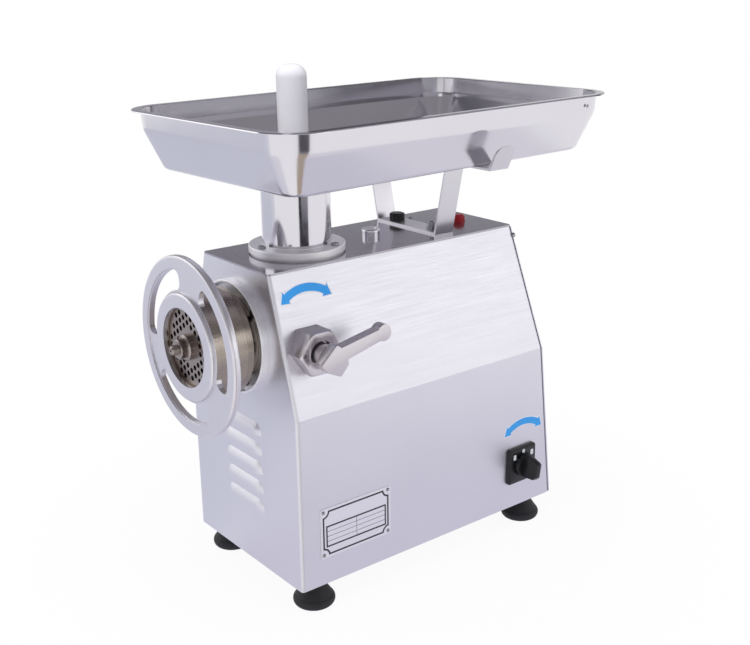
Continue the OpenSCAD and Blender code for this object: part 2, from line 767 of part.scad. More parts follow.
module ring_wheel() {
    edge = 3;
    web_front = rim_front - 1.5;
    lip_back = hub_front - lip_t;
    color("silver") place() difference() {
        union() {
            // Rim with a rounded outer edge
            along_y(0, -rim_front, axis_z) rotate_extrude($fn = 128) {
                translate([rim_in_r, 0]) square([rim_r - rim_in_r - edge, rim_t]);
                translate([rim_in_r, edge]) square([rim_r - rim_in_r, rim_t - 2 * edge]);
                for (y = [edge, rim_t - edge]) translate([rim_r - edge, y]) circle(r = edge, $fn = 32);
            }
            along_y(0, -web_front, axis_z) linear_extrude(web_t) difference() {
                circle(r = rim_in_r + 1, $fn = 128);
                for (i = [0 : 2]) wheel_window(i * 120 - spoke_turn);
            }
            // Hub with a rounded front edge
            along_y(0, -hub_front, axis_z) rotate_extrude($fn = 96) {
                square([hub_r - edge, edge]);
                translate([0, edge]) square([hub_r, hub_front - hub_rear - edge]);
                translate([hub_r - edge, edge]) circle(r = edge, $fn = 32);
            }
        }
        bar_y(outlet_r, -hub_front - over, 0, axis_z);
        bar_y(plate_r + 1, -lip_back, 0, axis_z);
        bar_y(thread_r + run, -barrel_front - 2, 0, axis_z);
    }
}

// ---- Clamp ----

module clamp_boss() {
    chamfer = 2.5;
    color("darkgray") place() difference() {
        union() {
            difference() {
                intersection() {
                    along_x(half_deck, clamp_y, axis_z) rotate([0, 0, 90]) cylinder(r = hex_r, h = clamp_end - half_deck, $fn = 6);
                    along_x(half_deck, clamp_y, axis_z) rotate_extrude()
                        polygon([[0, 0], [hex_r + over, 0], [hex_r + over, clamp_end - half_deck - chamfer - over],
                            [hex_r - chamfer, clamp_end - half_deck], [0, clamp_end - half_deck]]);
                }
                translate([0, clamp_y + 2 * hex_r, 0]) rotate([90, 0, 0]) linear_extrude(4 * hex_r)
                    front_outline(-0.05, bottom_z, deck_z);
            }
            along_x(wall_x - sheet - 18, clamp_y, axis_z) cylinder(r = spigot_r, h = 18 + sheet + 9);
        }
        along_x(half_deck - 20, clamp_y, axis_z) cylinder(r = screw_r + run, h = clamp_end);
        along_x(clamp_end - 9, clamp_y, axis_z) cylinder(r = screw_r + 2.6, h = clamp_end);
        along_x(clamp_end - 5, clamp_y - 21, axis_z + 1.5) cylinder(r = 2.3, h = 6);
    }
}

module clamp_screw() {
    tip = barrel_r + 0.6;
    color("gray") place() {
        along_x(tip, clamp_y, axis_z) cylinder(r = screw_r, h = lever_x - tip);
        along_x(lever_x, clamp_y, axis_z) cylinder(r = 7, h = 8);
    }
}

// Lever outline: a slanted body with a heel, an arm that tapers and a round end
module lever_outline() {
    arm_root = 8.2;
    arm_tip = 6.6;
    hull() for (corner = [[2, 12.5], [-15.5, -4], [-8.5, -11], [6, -17.5], [14.5, -8], [12, 6]])
        translate(corner) circle(r = 2.5);
    hull() {
        translate([7, 3]) circle(r = arm_root);
        rotate(lever_rise) translate([lever_l, 0]) circle(r = arm_tip);
    }
    rotate(lever_rise) translate([lever_l, 0]) circle(r = lever_ball_r);
}

module clamp_lever() {
    color("silver") place() difference() {
        translate([lever_x, clamp_y, axis_z]) rotate([90, 0, 90]) linear_extrude(lever_t) lever_outline();
        along_x(lever_x - over, clamp_y, axis_z) cylinder(r = 7 + run, h = 8 + over);
    }
}

// ---- Neck, tray and pusher ----

neck_screw_r = 2.5;
neck_screw_pcr = (neck_r + neck_flange_r) / 2;
neck_screw_angles = [30, 150, 270];
bolt_r = 3;
bolt_depth = strip_t + deck_t + sheet + 3;
cap_shank_r = 5;
oil_r = 6;
oil_depth = deck_t + sheet + 6;

module neck() {
    groove = 2;
    color("silver") place() translate([0, neck_y, 0]) difference() {
        union() {
            translate([0, 0, deck_z]) rotate_extrude() {
                square([neck_flange_r - 2, groove]);
                translate([0, groove]) square([neck_flange_r, neck_flange_t - groove - 1.5]);
                translate([0, neck_flange_t - 2]) square([neck_flange_r - 1.5, 2]);
                translate([neck_flange_r - 1.5, neck_flange_t - 1.5]) circle(r = 1.5, $fn = 24);
            }
            translate([0, 0, neck_seat_z]) cylinder(r = neck_r, h = neck_top_z - neck_seat_z);
        }
        translate([0, 0, neck_seat_z - over]) cylinder(r = neck_bore, h = neck_top_z - neck_seat_z + 2 * over);
        for (a = neck_screw_angles) rotate(a) translate([neck_screw_pcr, 0, deck_z - over])
            cylinder(r = neck_screw_r + fit, h = neck_flange_t + 2 * over);
    }
}

module neck_screws() {
    color("gray") place() translate([0, neck_y, deck_z + neck_flange_t])
        for (a = neck_screw_angles) rotate(a) translate([neck_screw_pcr, 0, 0])
            screw(4.5, 2.5, neck_screw_r, neck_flange_t + deck_t + sheet);
}

// Stack of the tray's outline: depth is how far a surface lies inside the outside of the sheet
module tray_body(depth, z0, z1) {
    mid_z = rim_z - tray_band;
    w = tray_w - 2 * tray_flange - 2 * depth;
    l = tray_l - 2 * tray_flange - 2 * depth;
    r = tray_corner - tray_flange - depth;
    hull() {
        slab(w, l, r, z1);
        slab(w - 2 * band_lean, l - 2 * band_lean, r - band_lean, mid_z);
    }
    hull() {
        slab(w - 2 * band_lean, l - 2 * band_lean, r - band_lean, mid_z);
        slab(w - 2 * (band_lean + wall_lean), l - 2 * (band_lean + wall_lean), r - band_lean - wall_lean * 0.8, z0);
    }
}

module tray() {
    color("lightgray") place() translate([0, neck_y, 0]) rotate(tray_yaw) difference() {
        union() {
            translate([0, tray_l / 2 - throat_front, 0]) difference() {
                union() {
                    tray_body(0, tray_z, rim_z - 0.01);
                    translate([0, 0, rim_z - hem]) linear_extrude(hem) rounded_rect(tray_w, tray_l, tray_corner, $fn = 64);
                }
                tray_body(tray_t, tray_floor_z, rim_z + over);
                // The hem is hollow underneath
                translate([0, 0, rim_z - hem - over]) linear_extrude(hem + over - tray_t) difference() {
                    rounded_rect(tray_w - 2 * tray_t, tray_l - 2 * tray_t, tray_corner - tray_t, $fn = 64);
                    rounded_rect(tray_w - 2 * tray_flange, tray_l - 2 * tray_flange, tray_corner - tray_flange, $fn = 32);
                }
            }
            translate([0, 0, tray_z - collar_l]) cylinder(r = collar_r, h = collar_l + tray_t);
        }
        translate([0, 0, tray_z - collar_l - over]) cylinder(r = throat_r, h = collar_l + 4 * over + tray_t);
    }
}

bracket_x = -bracket_left;
bolt_spots = [for (side = [-1, 1]) [bracket_x + side * bolt_gap / 2, bracket_y]];
cap_spot = [-2, 192];
oil_rear = 35.7;
oil_spot = [10, rear_at(deck_z) - oil_rear];

// The tabs lean out as much as the tray's walls do
tab_lean = tab_h * wall_lean / (tray_depth - tray_band);

// Half of the bracket's strip seen from the front, from the middle of the foot to the tab
module bracket_side() {
    foot_z = deck_z;
    under_z = tray_z - slip;
    leg_x = bracket_half + leg_lean;
    tab_x = tab_reach + tab_lean;
    polygon([
        [0, foot_z], [bracket_half, foot_z],
        [leg_x, under_z - strip_t], [tab_reach, under_z - strip_t], [tab_x, under_z + tab_h - strip_t],
        [tab_x - strip_t, under_z + tab_h - strip_t], [tab_reach - strip_t * 1.1, under_z],
        [leg_x - strip_t * 0.8, under_z], [bracket_half - strip_t * 0.8, foot_z + strip_t], [0, foot_z + strip_t]
    ]);
}

module tray_bracket() {
    tab_r = 11;
    reach = tab_reach + tab_lean + over;
    color("silver") place() translate([bracket_x, bracket_y, 0]) difference() {
        for (side = [0, 1]) mirror([side, 0, 0])
            translate([0, strip_w / 2, 0]) rotate([90, 0, 0]) linear_extrude(strip_w) bracket_side();
        // Rounded top corners of the tabs
        for (end = [-1, 1]) translate([-reach, end * (strip_w / 2 - tab_r), tray_z - slip + tab_h - strip_t - tab_r])
            rotate([0, 90, 0]) linear_extrude(2 * reach) difference() {
                translate([-tab_r - over, end > 0 ? 0 : -tab_r - over]) square([tab_r + over, tab_r + over]);
                circle(r = tab_r, $fn = 32);
            }
        for (side = [-1, 1]) translate([side * bolt_gap / 2, 0, deck_z - over]) cylinder(r = bolt_r + fit, h = strip_t + 2 * over);
    }
}

// Ribbed hand knob that holds the left end of the bracket
module bracket_knob() {
    color("black") place() translate([bolt_spots[0][0], bolt_spots[0][1], deck_z + strip_t]) {
        linear_extrude(8) difference() {
            circle(r = 9.5);
            for (i = [0 : 11]) rotate(i * 30) translate([10.3, 0]) circle(r = 1.6, $fn = 16);
        }
        translate([0, 0, 8]) cylinder(r1 = 8.4, r2 = 7.4, h = 1);
        translate([0, 0, -bolt_depth]) cylinder(r = bolt_r, h = bolt_depth + over);
    }
}

// Socket screw and washer that hold the right end
module bracket_bolt() {
    color("gray") place() translate([bolt_spots[1][0], bolt_spots[1][1], deck_z + strip_t]) difference() {
        union() {
            cylinder(r = 6.5, h = 1.6);
            translate([0, 0, 1.6]) cylinder(r = 5, h = 7);
            translate([0, 0, -bolt_depth]) cylinder(r = bolt_r, h = bolt_depth + over);
        }
        translate([0, 0, 5]) cylinder(r = 2.9, h = 6, $fn = 6);
    }
}

module pusher() {
    edge = 13;
    top_z = tray_floor_z + pusher_rise;
    guard_z = tray_floor_z + slip;
    color("white") place() translate([0, neck_y, 0]) rotate_extrude() {
        translate([0, plunger_z]) square([pusher_r, top_z - edge - plunger_z]);
        translate([0, top_z - edge - 2]) square([pusher_r - edge, edge + 2]);
        translate([pusher_r - edge, top_z - edge]) intersection() {
            circle(r = edge, $fn = 48);
            square(edge);
        }
        translate([0, guard_z]) square([guard_r - 2, guard_t]);
        translate([0, guard_z + 2]) square([guard_r, guard_t - 4]);
        for (z = [2, guard_t - 2]) translate([guard_r - 2, guard_z + z]) circle(r = 2, $fn = 24);
        polygon([[0, plunger_z + 2], [plunger_r, plunger_z + 2], [plunger_r, plunger_z + 14], [pusher_r, plunger_z + 30], [0, plunger_z + 30]]);
        translate([0, plunger_z]) square([plunger_r - 2, 4]);
        translate([plunger_r - 2, plunger_z + 2]) circle(r = 2, $fn = 24);
    }
}

// Polished cap over the hole for the lifting eye
module deck_cap() {
    color("silver") place() translate([cap_spot[0], cap_spot[1], deck_z]) {
        rotate_extrude() {
            square([11, 6.5]);
            square([8.5, 9]);
            translate([8.5, 6.5]) circle(r = 2.5, $fn = 32);
        }
        translate([0, 0, -deck_t - sheet - 3]) cylinder(r = cap_shank_r, h = deck_t + sheet + 4);
    }
}

// Filler plug of the gearbox
module oil_plug() {
    color("red") place() translate([oil_spot[0], oil_spot[1], deck_z]) {
        cylinder(r = 8, h = 2);
        linear_extrude(7) difference() {
            circle(r = 7.4);
            for (i = [0 : 9]) rotate(i * 36) translate([8.2, 0]) circle(r = 1.4, $fn = 16);
        }
        translate([0, 0, 7]) cylinder(r1 = 6.4, r2 = 5, h = 2);
        translate([0, 0, -oil_depth]) cylinder(r = oil_r, h = oil_depth + over);
    }
}

// ---- Gear train ----

function involute(angle) = tan(angle) * 180 / PI - angle;

// Half of a tooth's angle at a radius
function tooth_half(teeth, r) = let (pitch_r = gear_m * teeth / 2, base_r = pitch_r * cos(20))
    90 / teeth - backlash / 4 / pitch_r * 180 / PI + involute(20) - (r > base_r ? involute(acos(base_r / r)) : 0);

// Spur gear outline; tooth 0 points along +X, or a gap does where shift is 0.5
module gear_outline(teeth, shift = 0) {
    pitch_r = gear_m * teeth / 2;
    radii = [pitch_r - 1.25 * gear_m, pitch_r * cos(20) > pitch_r - gear_m ? pitch_r - 0.5 * gear_m : pitch_r - 0.9 * gear_m,
        pitch_r + 0.3 * gear_m, pitch_r + gear_m];
    polygon([for (i = [0 : teeth - 1], k = [0 : 7])
        let (r = radii[k < 4 ? k : 7 - k], side = k < 4 ? -1 : 1,
            a = (i + shift) * 360 / teeth + side * tooth_half(teeth, r))
        [r * cos(a), r * sin(a)]]);
}

// A gear between two places on the Y axis; up turns tooth 0 to point up, down to point down
module gear(teeth, span, z, bore, shift, up = true) {
    along_y(0, span[0], z) rotate([0, 0, up ? -90 : 90]) linear_extrude(span[1] - span[0]) difference() {
        gear_outline(teeth, shift);
        circle(r = bore);
    }
}

module bearing(r_out, r_in, y0, y1, z) {
    wall = (r_out - r_in) / 4;
    difference() {
        bar_y(r_out, y0, y1, z);
        bar_y(r_in, y0 - over, y1 + over, z);
        for (y = [y0 - over, y1 - 1]) along_y(0, y, z) difference() {
            cylinder(r = r_out - wall, h = 1 + over);
            translate([0, 0, -over]) cylinder(r = r_in + wall, h = 4 * over);
        }
    }
}

bearing_y = [184, 202];
seal_y = [seat_end + 4, seat_end + 12];
big_bearing_r = 31;

module shaft_housing() {
    color("darkslategray") place() difference() {
        union() {
            bar_y(44, seat_end, box_front, axis_z);
            bar_y(seat_r + 6, seat_end, seat_end + 8, axis_z);
            bar_y(62, box_front - 8, box_front, axis_z);
            for (a = [0 : 60 : 300]) along_y(0, seat_end, axis_z) rotate([0, 0, a + 30])
                translate([40, -3, 0]) cube([17, 6, 20]);
        }
        bar_y(shaft_r + 2, seat_end - over, box_front + over, axis_z);
        bar_y(big_bearing_r, seat_end - over, seal_y[1], axis_z);
        bar_y(big_bearing_r, bearing_y[0], box_front + over, axis_z);
    }
}

module shaft_seal() {
    color("black") place() ring_y(big_bearing_r, shaft_r + run, seal_y[0], seal_y[1], axis_z);
}

module output_shaft() {
    end_y = box_back + cover_t - 2;
    color("lightsteelblue") place() difference() {
        union() {
            bar_y(shaft_r, shaft_front, bearing_y[0] - 4, axis_z);
            bar_y(output_shaft_r, shaft_front, end_y, axis_z);
            bar_y(output_shaft_r + 3, stage_two[0] - 6, stage_two[0], axis_z);
            translate([-3, stage_two[0], axis_z]) cube([6, stage_two[1] - stage_two[0], output_shaft_r + 3]);
        }
        along_y(0, shaft_front - over, axis_z)
            translate([-socket / 2, -socket / 2, 0]) cube([socket, socket, socket_depth + over]);
    }
}

module output_gear() {
    web = 6;
    color("goldenrod") place() difference() {
        gear(output_teeth, stage_two, axis_z, output_shaft_r, 0.5, false);
        for (y = [stage_two[0] - over, stage_two[1] - web]) along_y(0, y, axis_z) difference() {
            cylinder(r = output_r - 9, h = web + over);
            translate([0, 0, -over]) cylinder(r = output_shaft_r + 10, h = web + 3 * over);
        }
        translate([-3, stage_two[0] - over, axis_z]) cube([6, stage_two[1] - stage_two[0] + 2 * over, output_shaft_r + 3]);
    }
}

module output_bearings() {
    color("silver") place() {
        bearing(big_bearing_r, output_shaft_r + run, bearing_y[0], bearing_y[1], axis_z);
        bearing(big_bearing_r, output_shaft_r + run, box_back - 8, box_back + cover_t - 2, axis_z);
    }
}

// Outline of the gearbox round its three shafts
module box_outline(grow) {
    hull() {
        translate([0, axis_z]) circle(r = output_r + box_room + grow, $fn = 48);
        translate([0, lay_z]) circle(r = lay_r + box_room + grow, $fn = 48);
        translate([0, motor_z]) circle(r = motor_pinion_r + gear_m + 10 + grow, $fn = 48);
    }
}

module along_box(y0, y1) { translate([0, y1, 0]) rotate([90, 0, 0]) linear_extrude(y1 - y0) children(); }

// Screws in the middle of the gearbox's rim: height and radius of an arc's centre, and the angle on it
box_screw_r = 1.8;
box_screws = [for (arc = [
    [axis_z, output_r + box_room, [20, 90, 160]],
    [lay_z, lay_r + box_room, [-9, 189]],
    [motor_z, motor_pinion_r + gear_m + 10, [-60, -120]]]) for (a = arc[2])
        [(arc[1] + box_rim / 2) * cos(a), arc[0] + (arc[1] + box_rim / 2) * sin(a)]];

module gearbox_screws() {
    color("gray") place() for (spot = box_screws)
        along_y(spot[0], box_back + cover_t, spot[1]) screw(2.9, 2, box_screw_r, cover_t + 10);
}

module gearbox_case() {
    color("slategray") place() difference() {
        union() {
            along_box(box_front, box_back) box_outline(box_rim);
            translate([oil_spot[0], oil_spot[1], axis_z]) cylinder(r = oil_r + 5, h = shell_top_z - sheet - axis_z - slip);
        }
        along_box(box_front + box_wall, box_back + over) box_outline(0);
        bar_y(output_shaft_r + 3, box_front - over, box_back, axis_z);
        bar_y(16, box_front - over, box_back, lay_z);
        bar_y(motor_shaft_r + 1, box_front - over, box_back, motor_z);
        for (spot = box_screws) bar_y(box_screw_r + 0.1, box_back - 12, box_back + over, spot[1], spot[0]);
        translate([oil_spot[0], oil_spot[1], axis_z]) cylinder(r = oil_r + 0.1, h = 2 * output_r);
    }
}

module gearbox_cover() {
    color("slategray") place() difference() {
        union() {
            along_box(box_back, box_back + cover_t) box_outline(box_rim);
            ring_y(big_bearing_r + 5, big_bearing_r, box_back - 8, box_back + over, axis_z);
        }
        bar_y(big_bearing_r, box_back - over, box_back + cover_t - 2, axis_z);
        bar_y(16, box_back - over, box_back + cover_t - 2, lay_z);
        for (spot = box_screws) bar_y(box_screw_r + fit, box_back - over, box_back + cover_t + over, spot[1], spot[0]);
    }
}

module layshaft() {
    color("lightsteelblue") place() {
        bar_y(lay_shaft_r, box_front, box_back + cover_t - 2, lay_z);
        difference() {
            bar_y(lay_shaft_r + 4, box_front + box_wall + 1, stage_two[0] + over, lay_z);
            bar_y(2 * lay_r, stage_one[0], stage_one[1], lay_z);
        }
        bar_y(lay_shaft_r + 2, stage_one[0], stage_one[1], lay_z);
        gear(lay_pinion_teeth, stage_two, lay_z, lay_shaft_r - 2, 0, true);
    }
}

// Turned so that its teeth meet those of the motor's pinion below
module layshaft_gear() {
    color("goldenrod") place() difference() {
        gear(lay_teeth, stage_one, lay_z, lay_shaft_r + 2, 0.5, false);
        for (i = [0 : 5]) along_y(0, stage_one[0] - over, lay_z) rotate([0, 0, 60 * i])
            translate([lay_r * 0.6, 0, 0]) cylinder(r = 8, h = 30);
    }
}

module layshaft_bearings() {
    color("silver") place() {
        bearing(16, lay_shaft_r + run, box_front, box_front + box_wall - 1, lay_z);
        bearing(16, lay_shaft_r + run, box_back, box_back + cover_t - 2, lay_z);
    }
}

// ---- Motor ----

frame_wall = 5;
core_y = [motor_front + 34, motor_back - 40];

module motor_frame() {
    fins = 16;
    end_l = 10;
    body_r = motor_r - 6;
    bore_r = body_r - frame_wall;
    color("darkslategray") place() union() {
        along_y(0, motor_front, motor_z) rotate_extrude()
            polygon([[bore_r, 0], [motor_r, 0], [motor_r, end_l], [body_r, end_l], [body_r, motor_l - end_l],
                [motor_r, motor_l - end_l], [motor_r, motor_l], [bore_r, motor_l]]);
        for (i = [0 : fins - 1]) along_y(0, motor_front + end_l / 2, motor_z) rotate([0, 0, 360 * (i + 0.5) / fins])
            translate([bore_r + 2, -1.5, 0]) cube([motor_r - bore_r - 3, 3, motor_l - end_l]);
    }
}

module motor_front_bell() {
    t = 10;
    color("slategray") place() difference() {
        bar_y(motor_r, motor_front - t, motor_front, motor_z);
        bar_y(20, motor_front - t + 2, motor_front + over, motor_z);
        bar_y(motor_shaft_r + 1, motor_front - 2 * t, motor_front, motor_z);
        for (i = [0 : 7]) along_y(0, motor_front - t - over, motor_z) rotate([0, 0, 45 * i + 22.5])
            translate([48, 0, 0]) cylinder(r = 11, h = 2 * t);
    }
}

module motor_rear_bell() {
    joint_r = motor_pinion_r + gear_m + 16;
    color("slategray") place() difference() {
        along_y(0, motor_back, motor_z) rotate_extrude()
            polygon([[0, 0], [motor_r, 0], [motor_r, 8], [joint_r, 26], [joint_r, box_front - motor_back], [0, box_front - motor_back]]);
        along_y(0, motor_back - over, motor_z) rotate_extrude()
            polygon([[0, 0], [motor_r - 10, 0], [motor_r - 10, 6], [26, 16], [0, 16]]);
        bar_y(22, motor_back + 10, box_front - 12, motor_z);
        bar_y(motor_shaft_r + 1, motor_back, box_front + over, motor_z);
    }
}

module motor_cradle() {
    saddle_h = motor_z - bottom_z - base_t - 40;
    color("gray") place() difference() {
        for (y = [motor_front, motor_back - 10]) {
            translate([-62, y, bottom_z + base_t]) cube([124, 10, saddle_h]);
            translate([-70, y - 8, bottom_z + base_t]) cube([140, 26, 4]);
        }
        bar_y(motor_r + 0.1, motor_front - over, motor_back + over, motor_z);
    }
}

module stator() {
    core_r = motor_r - 6 - frame_wall;
    color("gray") place() difference() {
        bar_y(core_r, core_y[0], core_y[1], motor_z);
        bar_y(44, core_y[0] - over, core_y[1] + over, motor_z);
        for (i = [0 : 23]) along_y(0, core_y[0] - over, motor_z) rotate([0, 0, 15 * i])
            translate([40, -1.5, 0]) cube([16, 3, core_y[1] - core_y[0] + 2 * over]);
    }
}

module windings() {
    color("chocolate") place() for (y = [core_y[0] - 9, core_y[1] + 9])
        along_y(0, y, motor_z) rotate_extrude() translate([54, 0]) circle(r = 8.7, $fn = 32);
}

module rotor() {
    color("silver") place() difference() {
        union() {
            bar_y(43.4, core_y[0], core_y[1], motor_z);
            bar_y(38, core_y[0] - 6, core_y[1] + 6, motor_z);
        }
        bar_y(motor_shaft_r, core_y[0] - 10, core_y[1] + 10, motor_z);
    }
}

module rotor_shaft() {
    color("lightsteelblue") place() {
        bar_y(motor_shaft_r, 20, stage_one[0], motor_z);
        bar_y(motor_shaft_r - 2, 18, stage_one[1] + 3, motor_z);
    }
}

module motor_pinion() {
    color("goldenrod") place() gear(pinion_teeth, stage_one, motor_z, motor_shaft_r - 2 + run, 0, true);
}

module motor_bearings() {
    color("silver") place() {
        bearing(20, motor_shaft_r + run, motor_front - 8, motor_front + 1, motor_z);
        bearing(22, motor_shaft_r + run, motor_back + 12, motor_back + 24, motor_z);
    }
}

module fan() {
    fan_y = [22, 42];
    color("dimgray") place() difference() {
        union() {
            bar_y(18, fan_y[0], fan_y[1], motor_z);
            bar_y(fan_r, fan_y[1] - 2, fan_y[1], motor_z);
            for (i = [0 : 8]) along_y(0, fan_y[0], motor_z) rotate([0, 0, 40 * i])
                translate([16, -1, 0]) cube([fan_r - 17, 2, fan_y[1] - fan_y[0] - 1]);
        }
        bar_y(motor_shaft_r + run, fan_y[0] - over, fan_y[1] + over, motor_z);
    }
}

// Run capacitor, clipped to the base plate beside the motor
module capacitor() {
    r = 19;
    x = -half_w + sheet + r + 2;
    z = bottom_z + base_t + r + 2;
    color("whitesmoke") place() {
        bar_y(r, 100, 190, z, x);
        bar_y(4, 92, 101, z, x - 7);
        bar_y(4, 92, 101, z, x + 7);
        translate([x - r / 2, 130, bottom_z + base_t]) cube([r, 20, r / 2]);
    }
}

// ---- Switch, plate and gland ----

module switch_plate() {
    color("black") place() difference() {
        union() {
            along_x(half_w, switch_y, switch_z) linear_extrude(switch_t - 1.5) rounded_rect(switch_side, switch_side, 4);
            along_x(half_w, switch_y, switch_z) linear_extrude(switch_t) rounded_rect(switch_side - 3, switch_side - 3, 3);
        }
        along_x(half_w - over, switch_y, switch_z) cylinder(r = 5, h = switch_t + 2 * over);
    }
}

module switch_body() {
    depth = 34;
    color("dimgray") place() difference() {
        union() {
            along_x(half_w - sheet - depth, switch_y, switch_z) linear_extrude(depth) rounded_rect(40, 40, 3);
            along_x(half_w - 2 * sheet, switch_y, switch_z) cylinder(r = switch_side / 2 - 6.5, h = 2 * sheet);
        }
        along_x(half_w - 12, switch_y, switch_z) cylinder(r = 4 + slip, h = 12 + over);
    }
}

// Round knob with a raised grip bar, on its own spindle
module switch_knob() {
    grip_t = 8;
    face = half_w + switch_t + slip;
    color("black") place() {
        along_x(face, switch_y, switch_z) cylinder(r1 = knob_r, r2 = knob_r - 1, h = 6);
        translate([face, switch_y, switch_z]) rotate([knob_turn, 0, 0]) translate([0, 0, -grip_t / 2])
            linear_extrude(grip_t) polygon([[0, -knob_r + 1], [knob_h - 4, -knob_r + 2], [knob_h, -knob_r + 6],
                [knob_h, knob_r - 7], [knob_h - 2, knob_r - 5], [6, knob_r + 1], [0, knob_r + 1]]);
        along_x(half_w - 11, switch_y, switch_z) cylinder(r = 4, h = 12 + switch_t);
    }
}

data_mid = [data_y + data_l / 2, bottom_z + data_z + data_h / 2];
data_t = 0.8;

module data_plate() {
    color("silver") place() along_x(half_w, data_mid[0], data_mid[1]) linear_extrude(data_t)
        rounded_rect(data_h, data_l, 2);
}

module plate_rivets() {
    color("gray") place() for (y = [-1, 1], z = [-1, 1])
        along_x(half_w + data_t, data_mid[0] + y * (data_l / 2 - 4), data_mid[1] + z * (data_h / 2 - 4)) intersection() {
            translate([0, 0, -0.8]) sphere(r = 2.4, $fn = 32);
            cylinder(r = 3, h = 3);
        }
}

gland_r = 10;
gland_x = -60;
gland_z = bottom_z + 42;

// Cable gland in the rear panel, without its cable
module cable_gland() {
    color("black") place() along_y(gland_x, rear_at(gland_z), gland_z) rotate([atan(rear_lean / housing_h), 0, 0]) difference() {
        union() {
            cylinder(r = 14, h = 5, $fn = 6);
            translate([0, 0, 5]) cylinder(r = 11.5, h = 4);
            translate([0, 0, 9]) cylinder(r1 = 12, r2 = 8.5, h = 12);
            translate([0, 0, -9]) cylinder(r = gland_r, h = 10);
            translate([0, 0, -rear_t - sheet - 5]) cylinder(r = 14, h = 4.5, $fn = 6);
        }
        translate([0, 0, -10]) cylinder(r = 5, h = 40);
    }
}

housing_shell();
deck_plate();
rear_cover();
base_plate();
case_screws();
foot_front_left();
foot_front_right();
foot_rear_left();
foot_rear_right();
foot_screws();
head_flange();
flange_screws();
seat_tube();
barrel();
plate_key();
worm();
knife();
hole_plate();
ring_wheel();
clamp_boss();
clamp_screw();
clamp_lever();
neck();
neck_screws();
tray();
tray_bracket();
bracket_knob();
bracket_bolt();
pusher();
deck_cap();
oil_plug();
shaft_housing();
shaft_seal();
output_shaft();
output_gear();
output_bearings();
gearbox_case();
gearbox_cover();
gearbox_screws();
layshaft();
layshaft_gear();
layshaft_bearings();
motor_frame();
motor_front_bell();
motor_rear_bell();
motor_cradle();
stator();
windings();
rotor();
rotor_shaft();
motor_pinion();
motor_bearings();
fan();
capacitor();
switch_plate();
switch_body();
switch_knob();
data_plate();
plate_rivets();
cable_gland();
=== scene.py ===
import json
import math

import bmesh
import bpy
from mathutils import Matrix, Vector


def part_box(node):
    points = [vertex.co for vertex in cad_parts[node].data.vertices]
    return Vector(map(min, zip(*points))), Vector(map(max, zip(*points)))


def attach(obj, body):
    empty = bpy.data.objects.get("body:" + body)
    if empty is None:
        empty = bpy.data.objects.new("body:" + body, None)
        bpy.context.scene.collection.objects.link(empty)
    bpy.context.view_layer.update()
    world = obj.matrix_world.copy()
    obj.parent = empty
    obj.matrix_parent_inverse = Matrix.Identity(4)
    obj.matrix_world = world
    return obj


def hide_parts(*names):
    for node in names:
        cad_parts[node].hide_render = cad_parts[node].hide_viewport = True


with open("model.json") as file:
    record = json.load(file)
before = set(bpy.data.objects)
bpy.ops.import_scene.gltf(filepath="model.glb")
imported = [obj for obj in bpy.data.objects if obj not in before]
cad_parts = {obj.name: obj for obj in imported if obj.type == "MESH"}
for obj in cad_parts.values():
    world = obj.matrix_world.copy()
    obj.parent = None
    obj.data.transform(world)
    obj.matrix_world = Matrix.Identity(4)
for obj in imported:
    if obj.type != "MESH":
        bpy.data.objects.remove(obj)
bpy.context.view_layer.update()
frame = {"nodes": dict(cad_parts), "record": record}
nodes = frame["nodes"]

MM = 0.001

deck_low, deck_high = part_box("deck_plate")
FRONT = Vector(((deck_low.x + deck_high.x) / 2, deck_low.y, 0))


def at(x, y, z):
    """A place in mm: across from the middle plane, back from the housing's front, up from the table."""
    return FRONT + Vector((x, y, z)) * MM


# ---- Tree and colour helpers ----

def colour(code):
    """An sRGB hex colour as linear RGBA."""
    parts = [int(code[i:i + 2], 16) / 255 for i in (1, 3, 5)]
    return [c / 12.92 if c <= 0.04045 else ((c + 0.055) / 1.055) ** 2.4 for c in parts] + [1.0]


def add(tree, kind, inputs=None, **settings):
    """A node with its settings; an input is a value or the output that feeds it."""
    node = tree.nodes.new(kind)
    for name, value in settings.items():
        setattr(node, name, value)
    for socket, value in (inputs or {}).items():
        if isinstance(value, bpy.types.NodeSocket):
            tree.links.new(value, node.inputs[socket])
        else:
            node.inputs[socket].default_value = value
    return node


def blank(name):
    """A new material with an empty tree and its output."""
    material = bpy.data.materials.new(name)
    material.use_nodes = True
    tree = material.node_tree
    tree.nodes.clear()
    return material, tree, tree.nodes.new("ShaderNodeOutputMaterial")


def between(tree, fac, low, high, from_min=0.3, from_max=0.7):
    """A number that runs from low to high as fac runs over its usual values."""
    return add(tree, "ShaderNodeMapRange", {
        "Value": fac, "From Min": from_min, "From Max": from_max, "To Min": low, "To Max": high,
    }).outputs["Result"]


def blend(tree, fac, first, second):
    """The colour from first to second; each is an RGBA value or the output that feeds it."""
    node = add(tree, "ShaderNodeMix", {"Factor": fac, "A": first, "B": second}, data_type="RGBA")
    return next(output for output in node.outputs if output.type == "RGBA")


def two_tone(tree, fac, first, second):
    """A colour that wanders between two close shades."""
    return blend(tree, fac, colour(first), colour(second))


def shown_white(tree):
    """1 for what the eye sees straight, in a mirror or through glass, and 0 for light on matt pieces."""
    rays = add(tree, "ShaderNodeLightPath").outputs
    shown = rays["Is Camera Ray"]
    for other in ("Is Glossy Ray", "Is Transmission Ray"):
        shown = add(tree, "ShaderNodeMath", {0: shown, 1: rays[other]}, operation="MAXIMUM").outputs[0]
    return shown


# How many clouds or waves of a surface stand in a metre
METAL_CLOUDS = 8.0
SHEET_WAVES = 9.0
MOULD_CLOUDS = 30.0


